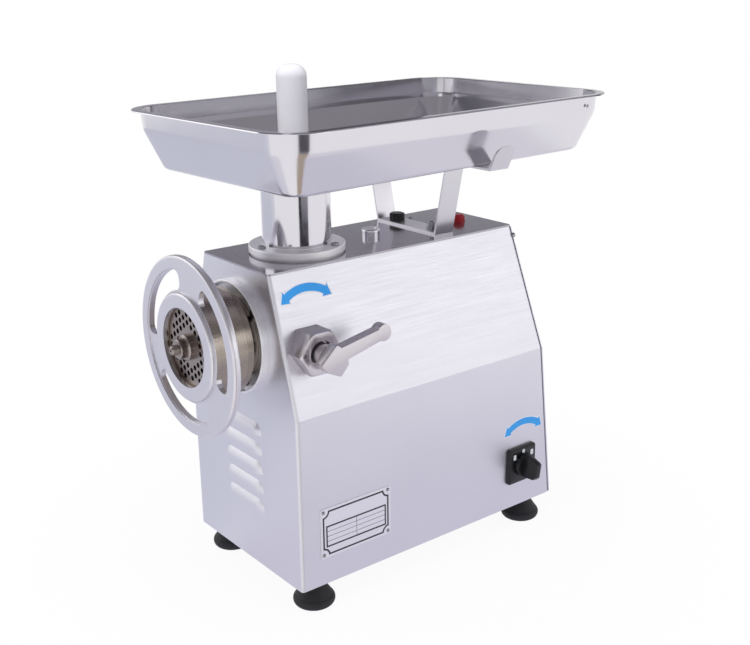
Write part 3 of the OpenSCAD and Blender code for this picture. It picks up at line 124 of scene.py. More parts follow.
def metal(name, shades, rough, grain, grain_depth, wave=0.0, soft_edge=0.0, beyond=None, core=None):
    """A bare metal: two close shades in wide clouds, and a grain stretched the way it was worked.

    wave is the height of a slow wave of the sheet, and soft_edge the radius of edges that are not
    sharp. beyond (axis, place, shades, roughness) is a part past a plane with another roughness, its
    shades set apart from the rest as painted light or shade, of which core (middle, radius) keeps only
    what lies round an axis along the machine.
    """
    material, tree, out = blank(name)
    place = add(tree, "ShaderNodeTexCoord").outputs["Object"]
    stretched = add(tree, "ShaderNodeMapping", {"Vector": place, "Scale": grain}).outputs["Vector"]
    lines = add(tree, "ShaderNodeTexNoise", {
        "Vector": stretched, "Scale": 1.0, "Detail": 3.0,
    }).outputs["Fac"]
    clouds = add(tree, "ShaderNodeTexNoise", {
        "Vector": place, "Scale": METAL_CLOUDS, "Detail": 4.0,
    }).outputs["Fac"]
    normal = {}
    if soft_edge:
        normal["Normal"] = add(tree, "ShaderNodeBevel", {"Radius": soft_edge}, samples=4).outputs["Normal"]
    if wave:
        slow = add(tree, "ShaderNodeTexNoise", {
            "Vector": place, "Scale": SHEET_WAVES, "Detail": 1.0,
        }).outputs["Fac"]
        normal["Normal"] = add(tree, "ShaderNodeBump", {
            "Height": slow, "Strength": 1.0, "Distance": wave, **normal,
        }).outputs["Normal"]
    bump = add(tree, "ShaderNodeBump", {
        "Height": lines, "Strength": 0.6, "Distance": grain_depth, **normal,
    }).outputs["Normal"]
    tone = two_tone(tree, clouds, *shades)
    gloss = between(tree, lines, *rough)
    if beyond:
        axis, plane, other_shades, other_rough = beyond
        along = add(tree, "ShaderNodeSeparateXYZ", {"Vector": place}).outputs[axis]
        past = add(tree, "ShaderNodeMath", {0: along, 1: plane}, operation="GREATER_THAN").outputs[0]
        if core:
            middle, radius = core
            arm = add(tree, "ShaderNodeVectorMath", {0: place, 1: middle}, operation="SUBTRACT")
            arm = add(tree, "ShaderNodeVectorMath", {
                0: arm.outputs["Vector"], 1: (1, 0, 1),
            }, operation="MULTIPLY")
            reach = add(tree, "ShaderNodeVectorMath", {0: arm.outputs["Vector"]}, operation="LENGTH")
            inside = add(tree, "ShaderNodeMath", {
                0: reach.outputs["Value"], 1: radius,
            }, operation="LESS_THAN").outputs[0]
            past = add(tree, "ShaderNodeMath", {0: past, 1: inside}, operation="MULTIPLY").outputs[0]
        # Past the plane the other shades take over: painted shade and a painted warm reflection on the
        # wheel's hub, and on the neck the tube beside the disc's painted light
        tone = blend(tree, past, tone, two_tone(tree, clouds, *other_shades))
        gloss = add(tree, "ShaderNodeMix", {
            "Factor": past, "A": gloss, "B": between(tree, lines, *other_rough),
        }, data_type="FLOAT").outputs["Result"]
    surface = add(tree, "ShaderNodeBsdfPrincipled", {
        "Base Color": tone, "Metallic": 1.0, "Roughness": gloss, "Normal": bump,
    })
    tree.links.new(surface.outputs["BSDF"], out.inputs["Surface"])
    return material


def moulded(name, shades, rough, grit, depth, subsurface=0.0):
    """Plastic or rubber from a mould: an even colour, a fine grit that blurs the gloss."""
    material, tree, out = blank(name)
    place = add(tree, "ShaderNodeTexCoord").outputs["Object"]
    fine = add(tree, "ShaderNodeTexNoise", {"Vector": place, "Scale": grit, "Detail": 2.0}).outputs["Fac"]
    clouds = add(tree, "ShaderNodeTexNoise", {
        "Vector": place, "Scale": MOULD_CLOUDS, "Detail": 3.0,
    }).outputs["Fac"]
    bump = add(tree, "ShaderNodeBump", {"Height": fine, "Strength": 0.5, "Distance": depth}).outputs["Normal"]
    surface = add(tree, "ShaderNodeBsdfPrincipled", {
        "Base Color": two_tone(tree, clouds, *shades), "IOR": 1.5,
        "Roughness": between(tree, fine, *rough), "Normal": bump,
    })
    if subsurface:
        surface.inputs["Subsurface Weight"].default_value = subsurface
        surface.inputs["Subsurface Scale"].default_value = 6 * MM
        surface.inputs["Subsurface Radius"].default_value = (1.0, 1.0, 1.0)
    tree.links.new(surface.outputs["BSDF"], out.inputs["Surface"])
    return material


# ---- Materials ----

# Stainless sheet, brushed along the machine: a pale satin, its lines as coarse as they need to show
brushed_sheet = metal(
    "brushed_stainless_sheet", ("#e6e5ec", "#dedde5"), (0.34, 0.44), (14, 14, 900), 0.01 * MM)
# Stainless sheet, polished: the deck mirrors what stands on it; its colour is painted a little darker than
# the sides, painted shade for the dark that it mirrors under the tray
deck_sheet = metal(
    "polished_deck_sheet", ("#bab7bf", "#b0adb6"), (0.1, 0.18), (500, 500, 500), 0.004 * MM,
    wave=0.05 * MM)
# Stainless, pressed and polished: the tray and the deck's cap, a mirror with the slow waves of drawn sheet
mirror_steel = metal(
    "pressed_mirror_steel", ("#e2e0e6", "#d9d7dd"), (0.15, 0.19), (40, 40, 15), 0.001 * MM,
    wave=0.05 * MM)
# Stainless strip, rolled and cut: a dull bright finish
rolled_strip = metal(
    "rolled_steel_strip", ("#dddbdf", "#d2d0d6"), (0.3, 0.34), (60, 60, 20), 0.001 * MM)
# Stainless casting, tumbled: the wheel's pale lavender satin; the hub's side behind it, inside the
# outlet, turned, and painted the barrel's darker brown-grey as painted shade and a painted warm reflection
tumbled_casting = metal(
    "tumbled_wheel_casting", ("#e4e2e8", "#dcdae1"), (0.3, 0.42), (500, 500, 500), 0.006 * MM,
    soft_edge=0.5 * MM, beyond=("Y", at(0, -64, 0).y, ("#a89e95", "#9a9088"), (0.2, 0.3)),
    core=(at(0, 0, 309.5), 63.4 * MM))
# Stainless casting, turned and buffed: the ring on the housing, its face almost white, a bright buffed finish
# and partly a painted highlight of its rounded rim
buffed_casting = metal(
    "buffed_flange_casting", ("#fcfbfd", "#f6f5f8"), (0.36, 0.46), (60, 900, 60), 0.002 * MM,
    soft_edge=1.2 * MM)
# Stainless tube welded to a turned disc: the tube a mirror, the disc below it a satin, its near-white colour
# painted light falling on it from above
neck_steel = metal(
    "polished_neck_steel", ("#fcfbfd", "#f6f5f8"), (0.5, 0.6), (300, 300, 60), 0.003 * MM,
    soft_edge=0.8 * MM,
    beyond=("Z", deck_high.z + 10.6 * MM, ("#e2e0e6", "#d9d7dd"), (0.08, 0.14)))
# Stainless casting, turned: fine rings round the axis that band its gloss; its brown-grey colour is a painted
# warm, dark reflection
turned_casting = metal(
    "turned_barrel_casting", ("#a1978e", "#958b83"), (0.2, 0.3), (60, 1200, 60), 0.006 * MM,
    soft_edge=0.4 * MM)
# Steel disc, ground: the hole plate, brown-grey with scratches
ground_plate = metal(
    "ground_hole_plate", ("#a79d98", "#958c88"), (0.24, 0.36), (900, 60, 900), 0.012 * MM)
# Zinc die casting, tumbled: lever and hex boss, an even pale grey
die_casting = metal(
    "tumbled_die_casting", ("#d9d4d8", "#cfcacf"), (0.26, 0.34), (40, 40, 40), 0.001 * MM)
# Steel, zinc plated: fasteners, and the shafts and bearings inside, a dull middle grey
plated_screw = metal(
    "plated_screw", ("#a9a8ad", "#99989e"), (0.25, 0.4), (900, 900, 900), 0.01 * MM)
# Steel, black oxide: the screws of the ring and the motor's cradle, dark with a metal's gloss
black_screw = metal(
    "black_oxide_steel", ("#55545a", "#47464c"), (0.3, 0.45), (900, 900, 900), 0.01 * MM)
# Grey cast iron, sand cast and painted over: gearbox, motor and seat tube inside, rough and dull
painted_iron = moulded(
    "painted_cast_iron", ("#5b6168", "#525860"), (0.45, 0.6), 900.0, 0.05 * MM)
# Tin bronze, cut: the output gear, yellow brown
cut_bronze = metal("cut_gear_bronze", ("#b08d57", "#a37f4b"), (0.25, 0.38), (800, 200, 800), 0.01 * MM)
# Enamelled copper wire, wound and varnished: red brown
wound_copper = metal(
    "varnished_copper_winding", ("#b0683a", "#9c5a30"), (0.3, 0.45), (900, 900, 900), 0.1 * MM)
# Black rubber, moulded: feet and shaft seal, dull, a soft grey sheen on the rounded edge
black_rubber = moulded("moulded_black_rubber", ("#19181d", "#141317"), (0.5, 0.65), 1200.0, 0.04 * MM)
# Black ABS, moulded: switch, knobs, fan and gland, with a faint gloss
black_abs = moulded("moulded_black_abs", ("#0d0d11", "#0a0a0e"), (0.28, 0.4), 1500.0, 0.02 * MM)
# Polyethylene, turned from a bar: the pusher, white, lets a little light in
white_pe = moulded(
    "turned_white_polyethylene", ("#f3f1f5", "#ebe9ee"), (0.35, 0.5), 700.0, 0.03 * MM, subsurface=0.4)
# Red ABS, moulded: the oil plug, with a faint gloss
red_abs = moulded("moulded_red_abs", ("#c41f2c", "#b21a26"), (0.3, 0.42), 1200.0, 0.02 * MM)
# Vinyl film, printed and cut: the arrows, blue on a white edge
blue_vinyl = moulded("printed_blue_vinyl", ("#2fabfd", "#2aa4f6"), (0.5, 0.6), 900.0, 0.005 * MM)
white_vinyl = moulded("printed_white_vinyl", ("#f1f4f8", "#eceff4"), (0.4, 0.5), 900.0, 0.005 * MM)
# Aluminium, brushed and anodised: the blank plate, a silky white, and its etched lines
anodised_plate = metal(
    "brushed_anodised_plate", ("#f5f4f8", "#ecebf0"), (0.3, 0.4), (60, 60, 900), 0.01 * MM)
etched_black = moulded("etched_black_line", ("#2c2a33", "#26242c"), (0.4, 0.5), 900.0, 0.01 * MM)
etched_grey = moulded("etched_grey_line", ("#8f8d98", "#86848f"), (0.4, 0.5), 900.0, 0.01 * MM)

finish = {
    "housing": brushed_sheet, "deck": deck_sheet, "polished_steel": mirror_steel, "steel": plated_screw,
    "cast_aluminium": die_casting, "wheel_casting": tumbled_casting, "cast_iron": painted_iron,
    "dark_steel": black_screw, "bronze": cut_bronze, "copper": wound_copper, "rubber": black_rubber,
    "black_plastic": black_abs, "white_plastic": white_pe, "red_plastic": red_abs, "plate": anodised_plate,
}
own_finish = {
    "barrel": turned_casting, "head_flange": buffed_casting, "neck": neck_steel, "hole_plate": ground_plate,
    "worm": ground_plate, "knife": ground_plate, "tray_bracket": rolled_strip, "clamp_lever": die_casting,
    "clamp_screw": die_casting, "motor_frame": painted_iron, "motor_front_bell": painted_iron,
    "motor_rear_bell": painted_iron, "gearbox_case": painted_iron, "gearbox_cover": painted_iron,
    "seat_tube": painted_iron,
}
slots = {part["node"]: part["material_slot"] for part in frame["record"]["subparts"]}


def finish_of(node):
    """The node's own finish, or else the one of its slot."""
    return own_finish.get(node, finish[slots[node]])


for name, thing in nodes.items():
    thing.data.materials.clear()
    thing.data.materials.append(finish_of(name))


# ---- Modelling helpers ----

def begin(name, primitive, **where):
    """A primitive under its own name, and nothing else selected."""
    bpy.ops.object.select_all(action="DESELECT")
    primitive(**where)
    piece = bpy.context.object
    piece.name = name
    piece.data.name = name
    return piece


def only(piece):
    """Selects the piece and nothing else."""
    bpy.ops.object.select_all(action="DESELECT")
    bpy.context.view_layer.objects.active = piece
    piece.select_set(True)


def pick(kind, test):
    """In edit mode, selects the edges or faces whose middle passes the test."""
    bpy.ops.mesh.select_mode(type=kind)
    bpy.ops.mesh.select_all(action="DESELECT")
    mesh = bmesh.from_edit_mesh(bpy.context.object.data)
    for item in mesh.edges if kind == "EDGE" else mesh.faces:
        if kind == "EDGE":
            place = (item.verts[0].co + item.verts[1].co) / 2
        else:
            place = item.calc_center_median()
        if test(place, item):
            item.select = True
    mesh.select_flush_mode()
    bmesh.update_edit_mesh(bpy.context.object.data)


def settle(piece, material, body, angle=35):
    """Bakes the object's place into its mesh, smooths it, and gives it its finish and its body."""
    only(piece)
    bpy.ops.object.transform_apply(location=True, rotation=True, scale=True)
    bpy.ops.object.shade_smooth_by_angle(angle=math.radians(angle))
    piece.data.materials.clear()
    piece.data.materials.append(material)
    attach(piece, body)


def modifier(piece, kind, **settings):
    """Adds a modifier with its settings and applies it."""
    only(piece)
    bpy.ops.object.modifier_add(type=kind)
    item = piece.modifiers[-1]
    for name, value in settings.items():
        setattr(item, name, value)
    bpy.ops.object.modifier_apply(modifier=item.name)


# ---- Tray ----

TRAY_W = 313.9 * MM
TRAY_L = 508.3 * MM
THROAT_TO_EDGE = 129.7 * MM
TRAY_CORNER = 50 * MM
TRAY_FLANGE = 8.5 * MM
BAND_H = 21.7 * MM
BAND_LEAN = 2 * MM
WALL_LEAN = 21.5 * MM
TRAY_SHEET = 1.2 * MM
THROAT_R = 35.2 * MM
COLLAR_L = 20 * MM
HEM = 0.4 * MM
TRAY_YAW = 3.2
CORNER_STEPS = 14
THROAT_STEPS = 60
# Radii of the bends: band to wall, wall to floor, floor to collar, and flange to hem
BAND_BEND = 4 * MM
FLOOR_BEND = 5 * MM
MOUTH_BEND = 1 * MM
HEM_BEND = 0.2 * MM
# Two heights in metres that differ by less are the same
SAME = 1e-5

tray_low, tray_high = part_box("tray")
neck_low, neck_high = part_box("neck")
throat = (neck_low + neck_high) / 2
rim_z = tray_high.z
under_z = tray_low.z + COLLAR_L


def is_level(edge):
    """Whether both ends of the edge are at one height."""
    return abs(edge.verts[0].co.z - edge.verts[1].co.z) < SAME


def is_fold(edge):
    """Whether the edge is level and lies between two faces."""
    return len(edge.link_faces) == 2 and is_level(edge)


def model_tray():
    """Pressed pan: thin hem, flat flange, upright band, leaning walls and a throat with a collar."""
    middle_y = TRAY_L / 2 - THROAT_TO_EDGE
    depth = rim_z - under_z
    tray = begin("tray_pan", bpy.ops.mesh.primitive_plane_add, size=1, location=(0, 0, 0))
    bpy.ops.object.mode_set(mode="EDIT")
    bpy.ops.transform.resize(value=(TRAY_W, TRAY_L, 1))
    bpy.ops.transform.translate(value=(0, middle_y, 0))
    bpy.ops.mesh.select_all(action="SELECT")
    bpy.ops.mesh.bevel(offset=TRAY_CORNER, segments=CORNER_STEPS, affect="VERTICES")
    bpy.ops.mesh.inset(thickness=TRAY_FLANGE, depth=0)
    bpy.ops.mesh.inset(thickness=BAND_LEAN, depth=-BAND_H)
    bpy.ops.mesh.inset(thickness=WALL_LEAN, depth=-(depth - BAND_H))
    bpy.ops.mesh.delete(type="ONLY_FACE")
    # The floor: from the walls to the throat
    bpy.ops.mesh.primitive_circle_add(vertices=THROAT_STEPS, radius=THROAT_R, location=(0, 0, -depth))
    pick("EDGE", lambda p, e: abs(p.z + depth) < SAME)
    bpy.ops.mesh.bridge_edge_loops()
    # The collar down from the throat, and the hem down from the rim
    pick("EDGE", lambda p, e: abs(p.z + depth) < SAME and e.is_boundary)
    bpy.ops.mesh.extrude_region_move(TRANSFORM_OT_translate={"value": (0, 0, -COLLAR_L)})
    pick("EDGE", lambda p, e: abs(p.z) < SAME and e.is_boundary)
    bpy.ops.mesh.extrude_region_move(TRANSFORM_OT_translate={"value": (0, 0, -HEM)})
    # The bends
    pick("EDGE", lambda p, e: abs(p.z + BAND_H) < 10 * SAME and is_fold(e))
    bpy.ops.mesh.bevel(offset=BAND_BEND, segments=4, affect="EDGES")
    pick("EDGE", lambda p, e: abs(p.z + depth) < 10 * SAME and is_fold(e)
         and any(f.normal.z < 0.9 for f in e.link_faces) and math.hypot(p.x, p.y) > 2 * THROAT_R)
    bpy.ops.mesh.bevel(offset=FLOOR_BEND, segments=4, affect="EDGES")
    pick("EDGE", lambda p, e: abs(p.z + depth) < 10 * SAME and is_level(e)
         and math.hypot(p.x, p.y) < THROAT_R + 1 * MM)
    bpy.ops.mesh.bevel(offset=MOUTH_BEND, segments=2, affect="EDGES")
    pick("EDGE", lambda p, e: abs(p.z) < SAME and is_fold(e)
         and any(abs(f.normal.z) < 0.5 for f in e.link_faces))
    bpy.ops.mesh.bevel(offset=HEM_BEND, segments=2, affect="EDGES")
    bpy.ops.mesh.select_all(action="SELECT")
    bpy.ops.mesh.remove_doubles(threshold=0.05 * MM)
    bpy.ops.mesh.normals_make_consistent(inside=False)
    bpy.ops.object.mode_set(mode="OBJECT")
    up = sum(f.normal.z * f.area for f in tray.data.polygons)
    if up < 0:
        bpy.ops.object.mode_set(mode="EDIT")
        bpy.ops.mesh.select_all(action="SELECT")
        bpy.ops.mesh.flip_normals()
        bpy.ops.object.mode_set(mode="OBJECT")
    modifier(tray, "SOLIDIFY", thickness=TRAY_SHEET, offset=1.0, use_even_offset=True)
    tray.location = (throat.x, throat.y, rim_z - TRAY_SHEET)
    tray.rotation_euler.z = math.radians(TRAY_YAW)
    settle(tray, mirror_steel, "tray_body", 40)
    modifier(tray, "WEIGHTED_NORMAL", keep_sharp=True)
    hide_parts("tray")


model_tray()


# ---- Softened castings and mouldings ----

bodies = frame["record"]["behaviour"]["bodies"]
body_of = {node: body for body, names in bodies.items() for node in names}


# Edges that turn by more than this many degrees are broken
SHARP = 30


def soften(node, width):
    """A copy of a solid with its sharp edges broken, as the mould or the tumbler leaves them."""
    piece = bpy.data.objects.new(node + "_softened", nodes[node].data.copy())
    piece.data.name = piece.name
    bpy.context.scene.collection.objects.link(piece)
    only(piece)
    bpy.ops.object.mode_set(mode="EDIT")
    bpy.ops.mesh.select_all(action="SELECT")
    bpy.ops.mesh.remove_doubles(threshold=0.01 * MM)
    bpy.ops.mesh.dissolve_limited(angle_limit=math.radians(1))
    bpy.ops.object.mode_set(mode="OBJECT")
    modifier(piece, "BEVEL", width=width, segments=2, limit_method="ANGLE",
             angle_limit=math.radians(SHARP))
    settle(piece, finish_of(node), body_of[node], SHARP)
    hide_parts(node)
    return piece


for node, width in (("clamp_lever", 0.7), ("clamp_boss", 0.5), ("switch_plate", 0.8), ("switch_knob", 0.8)):
    soften(node, width * MM)


# ---- Marks on the side ----

# The upper side leans in by 44.4 mm over 153.3 mm
SIDE_LEAN = math.atan2(44.4, 153.3)
# How far the prints stand out: the plate's heavy lines and white film, its thin rules, and blue film
FILM = 0.05 * MM
RULE_FILM = 0.04 * MM
BLUE_FILM = 0.09 * MM


def on_side(piece, place, lean=0.0):
    """Turns a piece drawn flat so that it lies on the side face, its X along the machine and its Y up."""
    c, s = math.cos(lean), math.sin(lean)
    piece.matrix_world = Matrix((
        (0, -s, c, place.x),
        (1, 0, 0, place.y),
        (0, c, s, place.z),
        (0, 0, 0, 1),
    ))


def flat(name, width, height):
    """A flat sheet, left in edit mode with all of it selected."""
    piece = begin(name, bpy.ops.mesh.primitive_plane_add, size=1, location=(0, 0, 0))
    bpy.ops.object.mode_set(mode="EDIT")
    bpy.ops.transform.resize(value=(width, height, 1))
    bpy.ops.mesh.select_all(action="SELECT")
    return piece


def leave_edit(piece, thickness):
    """Ends edit mode and gives the flat sheet its thickness."""
    bpy.ops.object.mode_set(mode="OBJECT")
    modifier(piece, "SOLIDIFY", thickness=thickness, offset=1.0)


def hollow_out(test):
    """Takes out the faces that pass the test."""
    pick("FACE", test)
    bpy.ops.mesh.delete(type="FACE")


BORDER_SIZE = (94 * MM, 55 * MM)
TABLE_SIZE = (85.6 * MM, 26.6 * MM)
RULES_SIZE = (83.4 * MM, 24.4 * MM)
TABLE_PLACE = Vector((0, 0.2 * MM, -4.4 * MM))


def model_outline(name, size, line_width, place, corner_cut=0.0):
    """A line round the plate or its table; corner_cut is a quarter circle cut in at each corner."""
    width, height = size
    line = flat(name, width, height)
    if corner_cut:
        bpy.ops.mesh.bevel(offset=corner_cut, segments=8, profile=0.08, affect="VERTICES")
        bpy.ops.mesh.select_all(action="SELECT")
    bpy.ops.mesh.inset(thickness=line_width, depth=0)
    hollow_out(lambda p, f: f.calc_area() > 0.3 * width * height)
    leave_edit(line, FILM)
    on_side(line, place)
    settle(line, etched_black, "machine")


def model_rules():
    """The thin rules of the table: two columns of four empty rows."""
    rules = begin("plate_rules", bpy.ops.mesh.primitive_grid_add, x_subdivisions=2, y_subdivisions=4,
                  size=1, location=(0, 0, 0))
    bpy.ops.object.mode_set(mode="EDIT")
    bpy.ops.transform.resize(value=(*RULES_SIZE, 1))
    bpy.ops.mesh.select_all(action="SELECT")
    bpy.ops.mesh.inset(thickness=0.4 * MM, depth=0, use_individual=True)
    hollow_out(lambda p, f: f.calc_area() > 50 * MM * MM)
    leave_edit(rules, RULE_FILM)
    on_side(rules, plate_middle + TABLE_PLACE)
    settle(rules, etched_grey, "machine")


plate_low, plate_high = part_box("data_plate")
plate_middle = Vector((plate_high.x, (plate_low.y + plate_high.y) / 2, (plate_low.z + plate_high.z) / 2))
model_outline("plate_border", BORDER_SIZE, 2.1 * MM, plate_middle, corner_cut=7.5 * MM)
model_outline("plate_frame", TABLE_SIZE, 1.9 * MM, plate_middle + TABLE_PLACE)
model_rules()

ARROW_HALF_L = 25.9 * MM
ARROW_W = 8.9 * MM
ARROW_HEAD_W = 15 * MM
ARROW_HEAD_L = 10 * MM
ARROW_BEND = -86.6


def model_arrow(name, place, lean, margin, thickness, film):
    """A strip with a head at each end, bent round the part that it points about."""
    half = ARROW_HALF_L - 0.4 * margin
    width = ARROW_W + 2 * margin
    head_w = ARROW_HEAD_W + 4 * margin
    head_l = ARROW_HEAD_L + 2.2 * margin
    near = 0.01 * MM
    arrow = begin(name, bpy.ops.mesh.primitive_grid_add, x_subdivisions=24, y_subdivisions=1,
                  size=1, location=(0, 0, 0))
    bpy.ops.object.mode_set(mode="EDIT")
    bpy.ops.transform.resize(value=(2 * half, width, 1))
    for end in (-1, 1):
        pick("EDGE", lambda p, e: p.x * end > half - near
             and abs(e.verts[0].co.x - e.verts[1].co.x) < near)
        bpy.ops.mesh.extrude_region_move(TRANSFORM_OT_translate={"value": (end * 0.3 * MM, 0, 0)})
        bpy.ops.transform.resize(value=(1, head_w / width, 1))
        bpy.ops.mesh.extrude_region_move(TRANSFORM_OT_translate={"value": (end * head_l, 0, 0)})
        bpy.ops.mesh.merge(type="CENTER")
    bpy.ops.object.mode_set(mode="OBJECT")
    modifier(arrow, "SIMPLE_DEFORM", deform_method="BEND", deform_axis="Z",
             angle=math.radians(ARROW_BEND))
    modifier(arrow, "SOLIDIFY", thickness=thickness, offset=1.0)
    on_side(arrow, place, lean)
    settle(arrow, film, "machine")


for number, place, lean in ((1, at(72.88, 42.25, 372.7), SIDE_LEAN), (2, at(111.4, 345, 147.55), 0.0)):
    model_arrow(f"arrow_edge_{number}", place, lean, 1.0 * MM, FILM, white_vinyl)
    model_arrow(f"arrow_{number}", place, lean, 0.0, BLUE_FILM, blue_vinyl)

switch_low, switch_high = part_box("switch_plate")
switch_middle = Vector((
    switch_high.x, (switch_low.y + switch_high.y) / 2, (switch_low.z + switch_high.z) / 2))
# Each mark of the switch in mm: back from its middle, up from its middle, width and height
SWITCH_MARKS = ((-14.3, 13, 4.5, 7), (1, 18, 4.5, 5.5), (16, 13, 5, 7.5))
for number, (y, z, width, height) in enumerate(SWITCH_MARKS):
    mark = flat(f"switch_mark_{number}", width * MM, height * MM)
    bpy.ops.mesh.bevel(offset=1.2 * MM, segments=3, affect="VERTICES")
    leave_edit(mark, FILM)
    on_side(mark, switch_middle + Vector((0, y, z)) * MM)
    settle(mark, white_vinyl, "machine")


def model_button_head(name, radius, height, place, lean, turn, body):
    """A low domed head: a half ball, flattened."""
    head = begin(name, bpy.ops.mesh.primitive_uv_sphere_add, segments=24, ring_count=12,
                 radius=radius, location=(0, 0, 0))
    bpy.ops.object.mode_set(mode="EDIT")
    hollow_out(lambda p, f: p.z < -0.02 * MM)
    bpy.ops.mesh.select_all(action="SELECT")
    bpy.ops.transform.resize(value=(1, 1, height / radius))
    pick("EDGE", lambda p, e: e.is_boundary)
    bpy.ops.mesh.edge_face_add()
    bpy.ops.object.mode_set(mode="OBJECT")
    on_side(head, place, lean)
    about = Matrix.Translation(place) @ Matrix.Rotation(turn, 4, "Z") @ Matrix.Translation(-place)
    head.matrix_world = about @ head.matrix_world
    settle(head, plated_screw, body, 60)


model_button_head("side_screw_head", 3 * MM, 1.4 * MM, at(70.7, 358.8, 380.3),
                  SIDE_LEAN, 0, "machine")
model_button_head("tray_rivet_head", 2 * MM, 0.9 * MM, at(130.3, 416.6, 538.6),
                  0, math.radians(TRAY_YAW), "tray_body")


# ---- Camera, lamps, floor and cards ----

CAMERA_PLACE = at(1014.903, -601.8957, 699.3)
AZIMUTH, ELEVATION, ROLL = (math.radians(a) for a in (51.86, 17.87, -0.73))


def aim_camera():
    """The camera at its place, level with the table apart from a slight roll."""
    back = Vector((
        math.sin(AZIMUTH) * math.cos(ELEVATION),
        -math.cos(AZIMUTH) * math.cos(ELEVATION),
        math.sin(ELEVATION),
    ))
    right = Vector((math.cos(AZIMUTH), math.sin(AZIMUTH), 0))
    up = back.cross(right)
    turned = right * math.cos(ROLL) + up * math.sin(ROLL)
    upright = up * math.cos(ROLL) - right * math.sin(ROLL)
    camera = bpy.data.objects.new("camera", bpy.data.cameras.new("camera"))
    bpy.context.scene.collection.objects.link(camera)
    camera.data.lens = 53.02
    camera.data.sensor_width = 36
    camera.data.sensor_fit = "HORIZONTAL"
    camera.data.clip_start = 0.05
    camera.data.clip_end = 50
    camera.matrix_world = Matrix((
        (turned.x, upright.x, back.x, CAMERA_PLACE.x),
        (turned.y, upright.y, back.y, CAMERA_PLACE.y),
        (turned.z, upright.z, back.z, CAMERA_PLACE.z),
        (0, 0, 0, 1),
    ))
    bpy.context.scene.camera = camera


def softbox(name, place, aim, size, power):
    """A lamp that lights the matt pieces; the metal sees the cards instead."""
    lamp = bpy.data.lights.new(name, "AREA")
    lamp.shape = "RECTANGLE"
    lamp.size, lamp.size_y = size
    lamp.energy = power
    holder = bpy.data.objects.new(name, lamp)
    bpy.context.scene.collection.objects.link(holder)
    holder.location = place
    holder.rotation_euler = (Vector(aim) - Vector(place)).to_track_quat("-Z", "Y").to_euler()
    holder.visible_glossy = False


def card(name, corners, shade, strength=1.0):
    """Flat faces that only reflections see."""
    mesh = bpy.data.meshes.new(name)
    faces = [tuple(range(4 * i, 4 * i + 4)) for i in range(len(corners))]
    mesh.from_pydata([c for face in corners for c in face], [], faces)
    piece = bpy.data.objects.new(name, mesh)
    bpy.context.scene.collection.objects.link(piece)
    material, tree, out = blank(name)
    glow = add(tree, "ShaderNodeEmission", {"Color": colour(shade), "Strength": strength})
    tree.links.new(glow.outputs["Emission"], out.inputs["Surface"])
    mesh.materials.append(material)
    for ray in ("camera", "diffuse", "transmission", "volume_scatter", "shadow"):
        setattr(piece, "visible_" + ray, False)


def steps(first, last):
    """The azimuths of a ring of faces, about 10 degrees each."""
    count = max(1, round(abs(last - first) / 10))
    angles = [math.radians(first + (last - first) * i / count) for i in range(count + 1)]
    return zip(angles, angles[1:])


def upright_ring(first, last, distance, low, high):
    """Upright faces round the machine, from one azimuth to another."""
    return [
        [(distance * math.cos(t), distance * math.sin(t), z)
         for t, z in ((a, low), (b, low), (b, high), (a, high))]
        for a, b in steps(first, last)
    ]


def floor_ring(first, last, near, far, height, apex=(0, 0)):
    """Level faces a little above the floor, height in mm, from one azimuth to another round the apex."""
    return [
        [(apex[0] + r * math.cos(t), apex[1] + r * math.sin(t), height * MM)
         for t, r in ((a, near), (a, far), (b, far), (b, near))]
        for a, b in steps(first, last)
    ]


def rim_card(x, first, last):
    """An upright face beside the tray's rim, as high as its inner walls mirror."""
    low, high = 0.56, 0.8
    return [[(x, first, low), (x, last, low), (x, last, high), (x, first, high)]]


# How white the floor shows near the machine and far from it, and between which radii in m it fades
FLOOR_WHITE = (0.94, 1.0)
FLOOR_FADE = (0.28, 0.55)


def build_floor():
    """Pale floor: it keeps the shadow near the machine and turns pure white further out."""
    floor = begin("floor", bpy.ops.mesh.primitive_plane_add, size=14, location=(0, 0, -0.2 * MM))
    material, tree, out = blank("white_floor")
    shown = shown_white(tree)
    place = add(tree, "ShaderNodeTexCoord").outputs["Object"]
    reach = add(tree, "ShaderNodeVectorMath", {0: place}, operation="LENGTH").outputs["Value"]
    white = between(tree, reach, *FLOOR_WHITE, *FLOOR_FADE)
    share = add(tree, "ShaderNodeMath", {0: shown, 1: white}, operation="MULTIPLY").outputs[0]
    lit = add(tree, "ShaderNodeBsdfDiffuse", {"Color": colour("#f2f2f4")})
    glow = add(tree, "ShaderNodeEmission", {"Color": colour("#ffffff"), "Strength": 1.0})
    both = add(tree, "ShaderNodeMixShader", {0: share, 1: lit.outputs[0], 2: glow.outputs[0]})
    tree.links.new(both.outputs[0], out.inputs["Surface"])
    floor.data.materials.append(material)


def build_world():
    """White all round for the eye and for reflections, softer as light on matt pieces."""
    world = bpy.data.worlds.new("studio")
    bpy.context.scene.world = world
    world.use_nodes = True
    tree = world.node_tree
    tree.nodes.clear()
    out = tree.nodes.new("ShaderNodeOutputWorld")
    shown = shown_white(tree)
    soft = add(tree, "ShaderNodeBackground", {"Color": colour("#f4f4fa"), "Strength": 0.62})
    white = add(tree, "ShaderNodeBackground", {"Color": colour("#ffffff"), "Strength": 1.0})
    both = add(tree, "ShaderNodeMixShader", {0: shown, 1: soft.outputs[0], 2: white.outputs[0]})
    tree.links.new(both.outputs[0], out.inputs["Surface"])


aim_camera()
build_floor()
build_world()
softbox("top_softbox", (0.3, -0.2, 1.9), (0, 0, 0.3), (1.4, 1.4), 13)
softbox("front_softbox", (0.5, -2.0, 1.3), (0, 0, 0.3), (1.0, 1.2), 15)

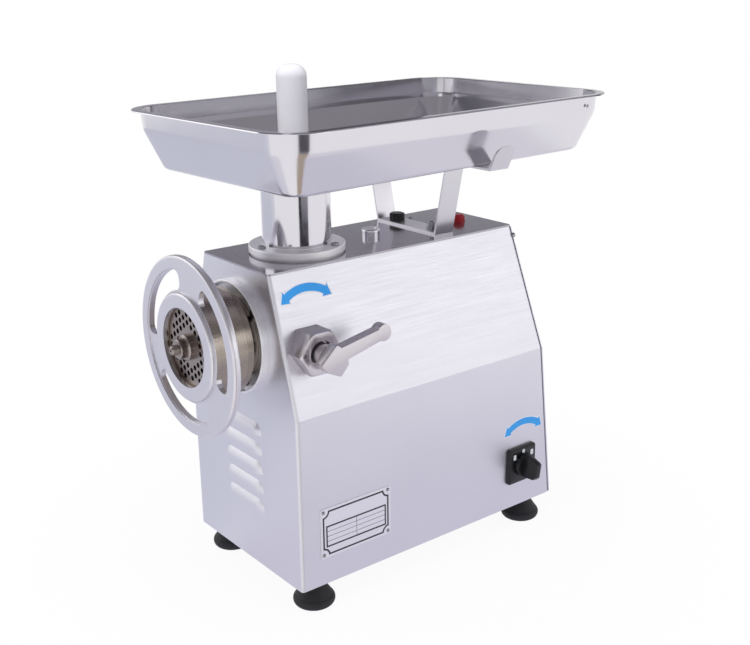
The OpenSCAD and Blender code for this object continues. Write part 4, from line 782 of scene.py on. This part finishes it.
# The studio that the metal mirrors: a lavender floor close by, paler further out, brown, grey and dark
# wedges to the right, a grey room round it, and grey faces beside the tray's rim
APEX = (0.12, -0.2)
card("near_floor", floor_ring(0, 360, 0.0, 0.55, 0.4), "#dad8e4")
card("mid_floor", floor_ring(0, 360, 0.55, 0.9, 0.4), "#eae8f0")
card("front_left_floor", floor_ring(-180, -119, 0.0, 2.6, 0.8), "#d6d8e4")
card("front_pale_floor", floor_ring(-119, -106, 0.0, 2.6, 0.8), "#dfe0ea")
card("corner_floor", floor_ring(-97, -22, 0.0, 0.9, 0.9, APEX), "#ffffff")
card("brown_wedge", floor_ring(-25, 8, 0.0, 0.8, 1.0, APEX), "#b3a594")
card("grey_wedge", floor_ring(-24, 8, 0.8, 1.35, 1.0, APEX), "#77757d")
card("dark_wedge", floor_ring(-24, 8, 1.35, 1.9, 1.0, APEX), "#28262c")
card("far_dark_wedge", floor_ring(-24, -15, 1.9, 3.0, 1.0, APEX), "#28262c")
card("far_grey_wedge", floor_ring(-15, 8, 1.9, 3.0, 1.0, APEX), "#8d8b93")
card("warm_room", upright_ring(-200, 120, 3.0, 1.05, 1.9), "#67646a")
card("upper_room", upright_ring(-240, 120, 3.0, 1.9, 3.5), "#908d91")
card("rear_room", upright_ring(120, 160, 3.0, 0.9, 1.9), "#929097")
card("ceiling", [[(-3, -3, 3.4), (3, -3, 3.4), (3, 3, 3.4), (-3, 3, 3.4)]], "#8d8a8e")
card("side_light", [
    [(2.6, 0.45, 0.5), (1.5, 2.25, 0.5), (1.5, 2.25, 1.35), (2.6, 0.45, 1.35)],
], "#ffffff", 1.5)
card("near_rim_grey", rim_card(0.25, -0.1, 0.4), "#a09fa6")
card("near_rim_dark", rim_card(0.25, 0.4, 0.95), "#5c5a60")
card("far_rim_dark", rim_card(-0.25, 0.05, 0.3), "#55535a")
card("far_rim_grey", rim_card(-0.25, -0.2, 0.05), "#9a989f")
card("left_light", upright_ring(-168, -118, 2.5, 0.9, 2.3), "#ffffff", 1.6)
card("front_light", [
    [(1.02, -1.72, 1.3), (1.4, -1.4, 1.3), (1.25, -1.25, 2.1), (0.9, -1.6, 2.1)],
], "#ffffff", 1.2)

bpy.context.scene.view_settings.view_transform = "Standard"
